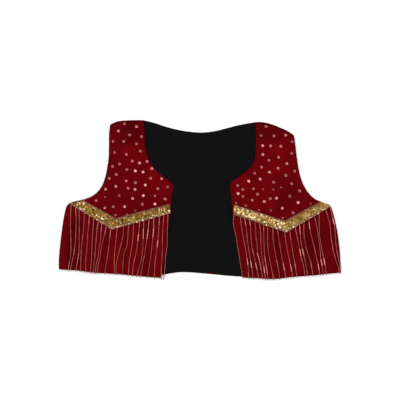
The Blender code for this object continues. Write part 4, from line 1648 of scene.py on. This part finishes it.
@dataclass
class VTrim:
    """An 18 mm gold ribbon laid as a V over one front, set with sequins, stones and beads."""

    side: Side
    # The V's three corners along its upper and its lower edge, and what catches the light
    upper: Table
    lower: Table
    sparks: Table
    # For each leg: the sequins' usual tone and its spread, and the beads' tones by edge, painted
    # lighter where a leg or an edge catches the light, with scattered painted glints
    legs: tuple[tuple[float, float], tuple[float, float]]
    edges: tuple[tuple[float, float], tuple[float, float]]
    seed: int
    width: float = 18.0
    # The fringe's tape: where it starts and ends across the ribbon, and its thickness
    tape_low: float = 1.2
    tape_high: float = 8.2
    tape_wall: float = 1.0
    leg_cells: int = 60

    # Ribbon section over the cloth: (across from the lower edge, underside, top)
    SECTION = (
        (0.0, 1.9, 2.3),
        (1.0, 1.7, 2.7),
        (3.5, 1.7, 2.75),
        (9.0, 1.7, 2.9),
        (13.0, 1.0, 2.3),
        (15.6, 0.35, 1.6),
        (17.3, 0.35, 1.4),
        (18.0, 0.55, 0.95),
    )
    SEQUIN_ROWS = (4.5, 6.8, 9.1, 11.4, 13.6)
    SEQUIN_PITCH = 3.1
    EDGE_BEAD_PITCH = 1.75
    # From which row up, and how often, a sequin is copper instead of gold
    COPPER_FROM = 2
    COPPER_SHARE = 0.4
    # How far round each of its points the ribbon rests on the cloth
    RIBBON_REACH = 3.5
    RIBBON_TONE = 0.4

    # Sections of what is sewn on: rows of radius and height
    DISC = ((2.0, 0.30), (2.0, 0.40), (1.1, 0.20), (0.35, 0.10), (0.35, 0.0), (1.1, 0.10))
    STONE = ((0.80, 0.0), (1.0, 0.22), (0.96, 0.40), (0.52, 0.72))
    BEAD = ((0.30, -0.50), (0.72, -0.62), (1.0, 0.0), (0.72, 0.62), (0.30, 0.50))
    # How a sequin strays aside, leans back along the row and tilts, and how alternate rows rise
    SEQUIN_STRAY = 0.35
    SEQUIN_LEAN = 0.12
    SEQUIN_TILT = 0.10
    ROW_RISE = 0.25
    # A sequin's size against the section: the middle and the spread
    SEQUIN_SIZE = (0.95, 0.04)
    STONE_TILT = 0.08
    STONE_RISE = 0.55
    # The edge beads' rows from each edge, their tilt and rise, and how their tones spread
    BEAD_ROWS = (0.8, 2.4)
    BEAD_TILT = 0.12
    BEAD_RISE = 0.45
    BEAD_SPREAD = 0.20

    def line(self, across: float) -> Array:
        """Return the V's three corners at a distance from the lower edge."""
        lower, upper = np.array(self.lower), np.array(self.upper)
        return lower + (upper - lower) * across / self.width

    def place(self, share: float, across: float) -> Array:
        """Return a plan point; share runs 0 to 1 on the west leg and 1 to 2 on the east one."""
        line = self.line(across)
        return np.array([np.interp(share, [0.0, 1.0, 2.0], line[:, n]) for n in (0, 1)])

    def walk(self, across: float, pitch: float) -> Iterable[tuple[float, Array]]:
        """Step along the V at a pitch.

        Args:
            across: how far from the lower edge.
            pitch: the length of a step.

        Yields:
            The share and the unit way along at each step.
        """
        line = self.line(across)
        for leg in (0, 1):
            run = line[leg + 1] - line[leg]
            count = max(int(np.linalg.norm(run) / pitch), 1)
            for n in range(count):
                yield leg + (n + 0.5) / count, unit(np.array([*run, 0.0]))

    def build(self, cover: Cover, wardrobe: Wardrobe, front: str,
              hanging: list[bpy.types.Object]) -> None:
        """Args:
            cover: the cloth under it.
            wardrobe: the materials.
            front: the name of the front that it lies on; not used.
            hanging: the tape and bead strings that are sewn under its lower side; not used.
        """
        rng = np.random.default_rng(self.seed)
        deck = Cover()
        ribbon = self.build_ribbon(cover, wardrobe, deck)
        sewn = [self.build_sequins(deck, wardrobe, rng), self.build_edging(deck, wardrobe, rng)]

    def strip(self, cover: Cover, section: Sequence[tuple[float, float, float]], reach: float,
              tone: float) -> Shape:
        """Lay a strip of woven tape along the V.

        Args:
            cover: the cloth under it.
            section: rows of how far across it is, and its underside and top over the cloth.
            reach: how far round each of its points it rests on the cloth.
            tone: its tone, from 0 to 1.

        Returns:
            The strip's shape.
        """
        above, below = [], []
        for n in range(2 * self.leg_cells + 1):
            for across, underside, top in section:
                x, y = self.place(n / self.leg_cells, across)
                cloth = cover.height(x, y, reach)
                above.append((x, y, cloth + top))
                below.append((x, y, cloth + underside))
        size = (-1, len(section), 3)
        points, faces = grid_wall(np.array(above).reshape(size), np.array(below).reshape(size))
        shape = Shape()
        shape.add(points, faces, tone=tone)
        return shape

    def build_ribbon(self, cover: Cover, wardrobe: Wardrobe, deck: Cover) -> bpy.types.Object:
        """Build the ribbon's cloth and lay it on its own cover.

        Args:
            cover: the cloth under it.
            wardrobe: the materials.
            deck: where it is laid for what is sewn on it.

        Returns:
            The ribbon.
        """
        shape = self.strip(cover, self.SECTION, self.RIBBON_REACH, self.RIBBON_TONE)
        deck.lay(shape)
        return shape.make(f"ribbon_{self.side.value}", [wardrobe.gold[Gold.RIBBON]], sharp=50.0,
                          slot="ribbon", replaces=f"band_{self.side.value}")

    def seat(self, deck: Cover, share: float, across: float) -> tuple[Array, Array]:
        """Find a place on the ribbon's top.

        Args:
            deck: the ribbon, as the cloth under it.
            share: how far along the V.
            across: how far from the lower edge.

        Returns:
            The place and the unit normal.
        """
        x, y = self.place(share, across)
        height, facing = deck.hit(x, y)
        return np.array([x, y, height]), unit(facing + [0.0, 0.0, 1.0])

    def build_sequins(self, deck: Cover, wardrobe: Wardrobe,
                      rng: np.random.Generator) -> bpy.types.Object:
        """Build the rows of overlapping sequins and the stones that catch the light.

        Args:
            deck: the ribbon, as the cloth under it.
            wardrobe: the materials.
            rng: where the small differences come from.

        Returns:
            The new piece.
        """
        disc = lathe(self.DISC, sides=8)
        stone = lathe(self.STONE, sides=8, loop=False)
        usual, more = self.SEQUIN_SIZE
        shape = Shape()
        for row, across in enumerate(self.SEQUIN_ROWS):
            for share, along in self.walk(across, self.SEQUIN_PITCH):
                aside, tilt_x, tilt_y, bigger, lighter = rng.normal(0.0, 1.0, 5)
                at, facing = self.seat(deck, share, across + self.SEQUIN_STRAY * aside)
                lean = facing - self.SEQUIN_LEAN * along
                lean += self.SEQUIN_TILT * np.array([tilt_x, tilt_y, 0.0])
                at += self.ROW_RISE * (row % 2) * facing
                # The leg's tone paints how much its sequins catch the light, and the spread scatters
                # painted glints
                middle, spread = self.legs[int(share)]
                is_copper = row >= self.COPPER_FROM and rng.random() < self.COPPER_SHARE
                shape.put(disc, at, lean, along, slot=2 if is_copper else 0,
                          tone=clamp(middle + spread * lighter), scale=usual + more * bigger)
        for x, y, radius, tone in self.sparks:
            height, facing = deck.hit(x, y)
            at = np.array([x, y, height]) + self.STONE_RISE * facing
            lean = facing + sway(rng, self.STONE_TILT)
            aim = np.array([1.0, 0.0, 0.0])
            shape.put(stone, at, lean, aim, slot=1, tone=tone, scale=radius)
        return shape.make(f"ribbon_sequins_{self.side.value}",
                          [wardrobe.gold[Gold.RIBBON_SEQUIN], wardrobe.stone,
                           wardrobe.gold[Gold.COPPER_SEQUIN]], sharp=25.0, slot="ribbon")

    def build_edging(self, deck: Cover, wardrobe: Wardrobe,
                     rng: np.random.Generator) -> bpy.types.Object:
        """Build the rows of small beads along both edges.

        Args:
            deck: the ribbon, as the cloth under it.
            wardrobe: the materials.
            rng: where the small differences come from.

        Returns:
            The new piece.
        """
        bead = lathe(self.BEAD, sides=8)
        shape = Shape()
        outer, inner = self.BEAD_ROWS
        for across in (outer, inner, self.width - inner, self.width - outer):
            for share, along in self.walk(across, self.EDGE_BEAD_PITCH):
                # Each edge's bead tone and its spread paint how much the beads catch the light
                light = self.edges[int(share)][across > self.width / 2]
                at, facing = self.seat(deck, share, across)
                way = along + sway(rng, self.BEAD_TILT)
                shape.put(bead, at + facing * self.BEAD_RISE, way, facing,
                          tone=clamp(rng.normal(light, self.BEAD_SPREAD)))
        return shape.make(f"edge_beads_{self.side.value}", [wardrobe.gold[Gold.EDGE_BEAD]],
                          slot="ribbon")


@dataclass
class BeadFringe:
    """Strings of tube beads that hang from a narrow tape under the ribbon's lower side."""

    side: Side
    trim: VTrim
    strands: Table
    shines: Table
    hem: Edge
    long_strands: dict[int, float]
    seed: int
    tone: float
    # How far strands end past the hem, and how far under its root a strand's next knot is at least
    past_hem: float = 1.6
    root_clear: float = 6.0
    # How far aside a joint usually strays
    kink: float = 0.22
    tube_radius: float = 0.72
    tube_length: float = 12.5
    seed_length: float = 1.4
    # How far inside a strand's end the cloth still holds it up, and how far its end drops
    hem_reach: float = 2.6
    tip_drop: float = 0.5

    # Sections of the beads and the thread: rows of radius and height, tube and thread for length 1
    TUBE = ((0.30, 0.02), (0.62, 0.0), (0.72, 0.012), (0.72, 0.5), (0.72, 0.988), (0.62, 1.0),
            (0.30, 0.98))
    TUBE_TWIST = 40.0
    BEAD = ((0.28, -0.45), (0.60, -0.55), (0.86, 0.0), (0.60, 0.55), (0.28, 0.45))
    THREAD = ((0.2, 0.0), (0.2, 1.0))
    # How far the thread runs past a tube and its seed bead, and the air under the beads
    THREAD_PAST = 0.3
    CLEAR = 0.1
    # Where along a tube its height over the cloth is looked at
    PROBES = (0.2, 0.4, 0.6, 0.8)
    # How much lighter a strand's first tube is painted, as a glint, and how the tubes' tones spread
    ROOT_LIGHTER = 0.18
    TUBE_SPREAD = 0.10
    # The seed beads' tones: the darkest, what is added, and the two powers of its spread
    SEED_TONES = (0.25, 0.3)
    SEED_POWERS = (1.5, 2.0)
    # The tape: its points across, its height over the cloth, how far round it rests, its tone
    TAPE_POINTS = 5
    TAPE_RISE = 0.2
    TAPE_REACH = 1.5
    TAPE_TONE = 0.2

    def path(self, number: int) -> Edge:
        """Return a strand's way in plan from its root to its end.

        Args:
            number: the strand.

        Returns:
            Its way.
        """
        root_x, *between, hem_x = self.strands[number]
        low = self.trim.line(self.trim.tape_low)
        root_y = float(np.interp(root_x, low[:, 0], low[:, 1]))
        knots = [(root_x, root_y)]
        knots += [
            (x, y) for x, y in zip(between, STRAND_HEIGHTS) if y < root_y - self.root_clear
        ]
        hem_y = float(np.interp(hem_x, self.hem.points[:, 0], self.hem.points[:, 1]))
        knots.append((hem_x, hem_y - self.long_strands.get(number, self.past_hem)))
        return Edge(knots)

    def joints(self, number: int, way: Edge) -> list[tuple[float, float, float | None]]:
        """Divide a strand into tubes.

        Args:
            number: the strand.
            way: its way in plan.

        Returns:
            For each tube its start, its end and how light it is, where a table gives that.
        """
        half = (self.tube_length + self.seed_length) / 2
        cuts, tones = [0.0], []
        for strand, y, tone in self.shines:
            if strand == number:
                middle = float(np.interp(-y, -way.points[:, 1], way.lengths))
                low, high = max(middle - half, 0.0), min(middle + half, way.length)
                if low - cuts[-1] < half:
                    low = cuts[-1]
                else:
                    cuts.append(low)
                    tones.append(None)
                cuts.append(high)
                tones.append(tone)
        if way.length - cuts[-1] > half:
            cuts.append(way.length)
            tones.append(None)
        cuts[-1] = way.length
        tubes = []
        for low, high, tone in zip(cuts, cuts[1:], tones):
            count = 1 if tone is not None else max(round((high - low) / (2 * half)), 1)
            marks = np.linspace(low, high, count + 1)
            tubes += [(float(a), float(b), tone) for a, b in zip(marks, marks[1:])]
        return tubes

    def rest(self, cover: Cover, x: float, y: float) -> Array:
        """Return the middle of a bead that lies on the cloth at a place."""
        height = cover.height(x, y, self.tube_radius) + self.tube_radius + self.CLEAR
        return np.array([x, y, height])

    def chain(self, cover: Cover, way: Edge, marks: Sequence[float],
              rng: np.random.Generator) -> list[Array]:
        """Lay a strand's joints on the cloth.

        Args:
            cover: the cloth under them.
            way: the strand's way in plan.
            marks: how far along it each joint is.
            rng: where each joint's small step aside comes from.

        Returns:
            The joints, raised where a tube between two of them would cut into the cloth.
        """
        bends = [0.0, *rng.normal(0.0, self.kink, len(marks) - 2), 0.0]
        joints = [self.rest(cover, *(way.at(mark / way.length) + [bend, 0.0]))
                  for mark, bend in zip(marks, bends)]
        edge = way.at(1.0 - self.hem_reach / way.length)
        joints[-1][2] = max(joints[-1][2], self.rest(cover, *edge)[2] - self.tip_drop)
        for before, after in zip(joints, joints[1:]):
            lift = 0.0
            for share in self.PROBES:
                place = before + (after - before) * share
                lift = max(lift, self.rest(cover, place[0], place[1])[2] - place[2])
            before[2] += lift
            after[2] += lift
        return joints

    def build(self, cover: Cover, wardrobe: Wardrobe) -> list[bpy.types.Object]:
        """Build the tape and the strings of beads.

        Args:
            cover: the cloth under them.
            wardrobe: the materials.

        Returns:
            The strings of beads and the tape.
        """
        rng = np.random.default_rng(self.seed)
        tube = lathe(self.TUBE, sides=8, twist=self.TUBE_TWIST)
        bead = lathe(self.BEAD, sides=8)
        thread = lathe(self.THREAD, sides=5, loop=False)
        darkest, more = self.SEED_TONES
        aim = np.array([0.0, 0.0, 1.0])
        shape = Shape()
        for number in range(len(self.strands)):
            way = self.path(number)
            tubes = self.joints(number, way)
            chain = self.chain(cover, way, [0.0, *(high for _, high, _ in tubes)], rng)
            for n, (start, end) in enumerate(zip(chain, chain[1:])):
                light = tubes[n][2]
                run = end - start
                length = float(np.linalg.norm(run))
                if light is None:
                    # The first tube of a strand is painted lighter as a glint
                    tone = self.tone + (self.ROOT_LIGHTER if n == 0 else 0.0)
                    light = clamp(rng.normal(tone, self.TUBE_SPREAD))
                shape.put(tube.stretched(length - self.seed_length), start, run, aim, tone=light)
                joint = end - unit(run) * self.seed_length / 2
                shape.put(bead, joint, run, aim, slot=1,
                          tone=darkest + more * float(rng.beta(*self.SEED_POWERS)))
                core = thread.stretched(length + 2 * self.THREAD_PAST)
                shape.put(core, start - unit(run) * self.THREAD_PAST, run, aim, slot=2)
        fringe = shape.make(
            f"bead_strings_{self.side.value}",
            [wardrobe.gold[Gold.TUBE_BEAD], wardrobe.gold[Gold.SEED_BEAD], wardrobe.red_thread],
            sharp=35.0, slot="beads", replaces=f"fringe_{self.side.value}",
        )
        return [fringe, self.build_tape(cover, wardrobe)]

    def build_tape(self, cover: Cover, wardrobe: Wardrobe) -> bpy.types.Object:
        """Build the woven tape that the strings are sewn to.

        Args:
            cover: the cloth under it.
            wardrobe: the materials.

        Returns:
            The tape.
        """
        trim = self.trim
        top = self.TAPE_RISE + trim.tape_wall
        section = [(float(across), self.TAPE_RISE, top) for across
                   in np.linspace(trim.tape_low, trim.tape_high, self.TAPE_POINTS)]
        shape = trim.strip(cover, section, self.TAPE_REACH, self.TAPE_TONE)
        return shape.make(f"fringe_tape_{self.side.value}", [wardrobe.gold[Gold.RIBBON]],
                          sharp=50.0, slot="beads")


@dataclass
class SewnSequins:
    """Cup sequins scattered over a front, each held by a seed bead and a stitch."""

    side: Side
    places: Table
    seed: int
    radius: float = 2.45
    # How far over the cloth a sequin's middle sits
    seat: float = 0.30

    # The rim's heights and the sections inside it: rows of radius and height
    RIM = (0.42, 0.52)
    CUP = ((1.7, 0.34), (0.9, 0.16), (0.42, 0.14), (0.42, 0.0), (0.9, 0.04), (1.7, 0.22))
    BEAD = ((0.26, -0.36), (0.62, -0.46), (0.90, 0.0), (0.62, 0.46), (0.26, 0.36))
    STITCH = ((0.14, 0.0), (0.14, 1.0))
    TILT = 0.07
    # Size against the section: the smallest, what light ones add, how soon, and the jitter
    SIZES = (0.72, 0.26, 2.5, 0.06)
    BEAD_RISE = 0.50
    STITCH_LENGTH = 1.7
    STITCH_RISE = 0.80
    STITCH_LEAN = 0.1

    def build(self, cover: Cover, wardrobe: Wardrobe) -> bpy.types.Object:
        """Build the sequins with their beads and stitches.

        Args:
            cover: the cloth under them.
            wardrobe: the materials.

        Returns:
            The new piece.
        """
        rng = np.random.default_rng(self.seed)
        cup = lathe([*((self.radius, height) for height in self.RIM), *self.CUP], sides=12)
        bead = lathe(self.BEAD, sides=8)
        stitch = lathe(self.STITCH, sides=5, loop=False).stretched(self.STITCH_LENGTH)
        smallest, more, gain, jitter = self.SIZES
        shape = Shape()
        for x, y, light in self.places:
            height, facing = cover.hit(x, y)
            at = np.array([x, y, height + self.seat])
            lean = facing + sway(rng, self.TILT)
            turn = rng.uniform(0.0, 2 * math.pi)
            aim = np.array([math.cos(turn), math.sin(turn), 0.0])
            size = smallest + more * min(1.0, gain * light) + jitter * (rng.random() - 0.5)
            # The cup's tone paints how much it glints, and its seed bead is painted as a highlight
            # where the cup is painted light
            shape.put(cup, at, lean, aim, tone=light, scale=size)
            shape.put(bead, at + unit(lean) * self.BEAD_RISE, lean, aim, slot=1,
                      tone=max(0.0, 2.0 * light - 1.0), scale=size)
            shape.put(stitch, at + unit(lean) * self.STITCH_RISE,
                      aim + self.STITCH_LEAN * facing, facing, slot=2)
        return shape.make(
            f"cup_sequins_{self.side.value}",
            [wardrobe.gold[Gold.CUP_SEQUIN], wardrobe.gold[Gold.SEED_BEAD], wardrobe.red_thread],
            sharp=20.0, slot="ribbon",
        )


@dataclass(frozen=True)
class FrontCut:
    """The tables, the trim and the seeds of one front."""

    outer_border: Border
    outer: Table
    inner: Table
    shoulder: Table
    hem: Table
    folds: Table
    creases: Table
    nap_and_shade: Table
    sequins: Table
    strands: Table
    shines: Table
    trim: VTrim
    fringe_seed: int
    sequin_seed: int
    strand_tone: float
    long_strands: dict[int, float] = field(default_factory=dict)


FRONT_CUTS = {
    Side.LEFT: FrontCut(
        Border.WEST, OUTER_LEFT, INNER_LEFT, SHOULDER_LEFT, HEM_LEFT, FOLDS_LEFT, CREASES_LEFT,
        NAP_AND_SHADE_LEFT, SEQUINS_LEFT, STRANDS_LEFT, SHINES_LEFT,
        trim=VTrim(
            Side.LEFT,
            upper=((-208.4, -0.8), (-151.6, -32.8), (-54.0, -6.8)),
            lower=((-233.8, -6.4), (-158.4, -52.9), (-52.6, -23.5)),
            sparks=SPARKS_LEFT, legs=((0.42, 0.21), (0.42, 0.20)),
            edges=((0.44, 0.44), (0.52, 0.18)), seed=41,
        ),
        fringe_seed=31, sequin_seed=51, strand_tone=0.25, long_strands={19: 3.6, 20: 3.9},
    ),
    Side.RIGHT: FrontCut(
        Border.EAST, OUTER_RIGHT, INNER_RIGHT, SHOULDER_RIGHT, HEM_RIGHT, FOLDS_RIGHT,
        CREASES_RIGHT, NAP_AND_SHADE_RIGHT, SEQUINS_RIGHT, STRANDS_RIGHT, SHINES_RIGHT,
        trim=VTrim(
            Side.RIGHT,
            upper=((61.6, -8.5), (151.4, -37.4), (216.2, -2.6)),
            lower=((60.2, -26.0), (154.6, -58.1), (235.3, -11.0)),
            sparks=SPARKS_RIGHT, legs=((0.59, 0.27), (0.57, 0.10)),
            edges=((0.34, 0.44), (0.56, 0.18)), seed=42,
        ),
        fringe_seed=32, sequin_seed=52, strand_tone=0.20,
    ),
}


@dataclass
class Vest:
    """The whole vest: back, lining, fronts, trims, fringes and sequins."""

    wardrobe: Wardrobe
    cover: Cover = field(default_factory=Cover)

    def lay(self, panel: ClothPanel, node: str, slot: str, materials: Sequence[bpy.types.Material],
            rests_on: list[str], under_slot: int = 0) -> bpy.types.Object:
        """Args:
            panel: the cut piece.
            node: the solid that it stands for.
            slot: the record's material slot.
            materials: one for each of its slots.
            rests_on: what it lies on; not used.
            under_slot: the material slot of its lower layer.

        Returns:
            The new piece.
        """
        shape = panel.build(under_slot)
        self.cover.lay(shape)
        piece = shape.make(panel.name, materials, sharp=60.0, slot=slot, replaces=node)
        return piece

    def build_back(self) -> None:
        """Build the velvet back and its lining."""
        top = Edge(SHOULDER_LEFT, BACK_NECK, SHOULDER_RIGHT)
        shares = (
            Edge(SHOULDER_LEFT).length / top.length,
            1 - Edge(SHOULDER_RIGHT).length / top.length,
        )
        edges = {"top": top, "hem": Edge(BACK_HEM), "west": Edge(OUTER_LEFT),
                 "east": Edge(OUTER_RIGHT), "rise": 1, "neck_shares": shares}
        velvet = BackPanel("velvet_back", wall=LAYERS.back_wall, curl_radius=LAYERS.back_curl,
                           cell=4.5, **edges)
        lining = LiningPanel("black_lining", wall=LAYERS.lining_wall, curl_radius=1.0,
                             cell=3.0, rings=3, **edges)
        self.lay(velvet, "back_velvet", "velvet", [self.wardrobe.velvet], ["table"])
        self.lay(lining, "back_lining", "lining", [self.wardrobe.lining], ["back_velvet"])

    def build_front(self, side: Side) -> None:
        """Build one front with its trim, fringe and sequins.

        Args:
            side: which one, as seen from above.
        """
        cut = FRONT_CUTS[side]
        outer, inner, hem = Edge(cut.outer), Edge(cut.inner), Edge(cut.hem)
        west, east = (outer, inner) if cut.outer_border is Border.WEST else (inner, outer)
        panel = FrontPanel(
            f"velvet_front_{side.value}", top=Edge(cut.shoulder), hem=hem, west=west, east=east,
            wall=LAYERS.front_wall, curl_radius=LAYERS.front_curl, rise=-1, cell=2.0,
            outer_border=cut.outer_border, folds=cut.folds, creases=cut.creases, nap_and_shade=cut.nap_and_shade,
            sequins=cut.sequins,
        )
        node = f"front_{side.value}"
        self.lay(panel, node, "velvet", [self.wardrobe.velvet, self.wardrobe.lining],
                 ["back_lining"], under_slot=1)
        fringe = BeadFringe(side, cut.trim, cut.strands, cut.shines, hem, cut.long_strands,
                            seed=cut.fringe_seed, tone=cut.strand_tone)
        hanging = fringe.build(self.cover, self.wardrobe)
        cut.trim.build(self.cover, self.wardrobe, node, hanging)
        SewnSequins(side, cut.sequins, cut.sequin_seed).build(self.cover, self.wardrobe)

    def build(self) -> None:
        """Build the vest from the table up."""
        self.build_back()
        for side in Side:
            self.build_front(side)


@dataclass(frozen=True)
class Studio:
    """The pale table, the soft light and the camera straight above."""

    view_width: float = 0.720
    camera_height: float = 2.4
    sensor: float = 36.0
    floor_size: float = 6.0
    floor_drop: float = 0.0004
    sky: float = 0.90

    # Soft square lights: name, place, size and power
    LIGHTS = (
        ("key", (-0.9, 0.9, 1.7), 1.5, 19.0),
        ("fill", (1.2, -0.5, 1.6), 1.8, 11.0),
    )

    def build(self) -> None:
        """Build the studio."""
        self.build_floor()
        for light in self.LIGHTS:
            self.build_light(*light)
        world = bpy.data.worlds.new("studio")
        world.use_nodes = True
        background = world.node_tree.nodes["Background"]
        background.inputs["Color"].default_value = (1.0, 1.0, 1.0, 1.0)
        background.inputs["Strength"].default_value = self.sky
        scene = bpy.context.scene
        scene.world = world
        scene.view_settings.view_transform = "Standard"
        scene.view_settings.look = "None"
        self.build_camera()

    def build_floor(self) -> None:
        """Build the table's plain pale surface."""
        half = self.floor_size / 2
        mesh = bpy.data.meshes.new("table")
        corners = [(-half, -half, 0.0), (half, -half, 0.0), (half, half, 0.0), (-half, half, 0.0)]
        mesh.from_pydata(corners, [], [(0, 1, 2, 3)])
        material, _, shader = new_material("pale table")
        shader.inputs["Base Color"].default_value = (0.97, 0.97, 0.97, 1.0)
        shader.inputs["Roughness"].default_value = 0.9
        shader.inputs["Specular IOR Level"].default_value = 0.1
        mesh.materials.append(material)
        table = bpy.data.objects.new("table", mesh)
        table.location.z = -self.floor_drop
        bpy.context.scene.collection.objects.link(table)

    def build_light(self, name: str, place: tuple[float, float, float], size: float,
                    power: float) -> None:
        """Build a soft square light that faces the vest.

        Args:
            name: its name.
            place: where it hangs, in metres.
            size: the length of its side, in metres.
            power: its power in watts.
        """
        data = bpy.data.lights.new(name, "AREA")
        data.shape = "SQUARE"
        data.size = size
        data.energy = power
        light = bpy.data.objects.new(name, data)
        light.location = place
        light.rotation_euler = (-Vector(place)).to_track_quat("-Z", "Y").to_euler()
        bpy.context.scene.collection.objects.link(light)

    def build_camera(self) -> None:
        """Build the camera, straight above with the neck at the top of the picture."""
        data = bpy.data.cameras.new("camera")
        data.sensor_width = self.sensor
        data.lens = self.sensor * self.camera_height / self.view_width
        camera = bpy.data.objects.new("camera", data)
        camera.location = (0.0, 0.0, self.camera_height)
        bpy.context.scene.collection.objects.link(camera)
        bpy.context.scene.camera = camera


def main() -> None:
    """Load the frame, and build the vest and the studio."""
    logging.basicConfig(level=logging.INFO, format="%(name)s: %(message)s")
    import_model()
    Vest(Wardrobe()).build()
    Studio().build()


if __name__ == "__main__":
    main()
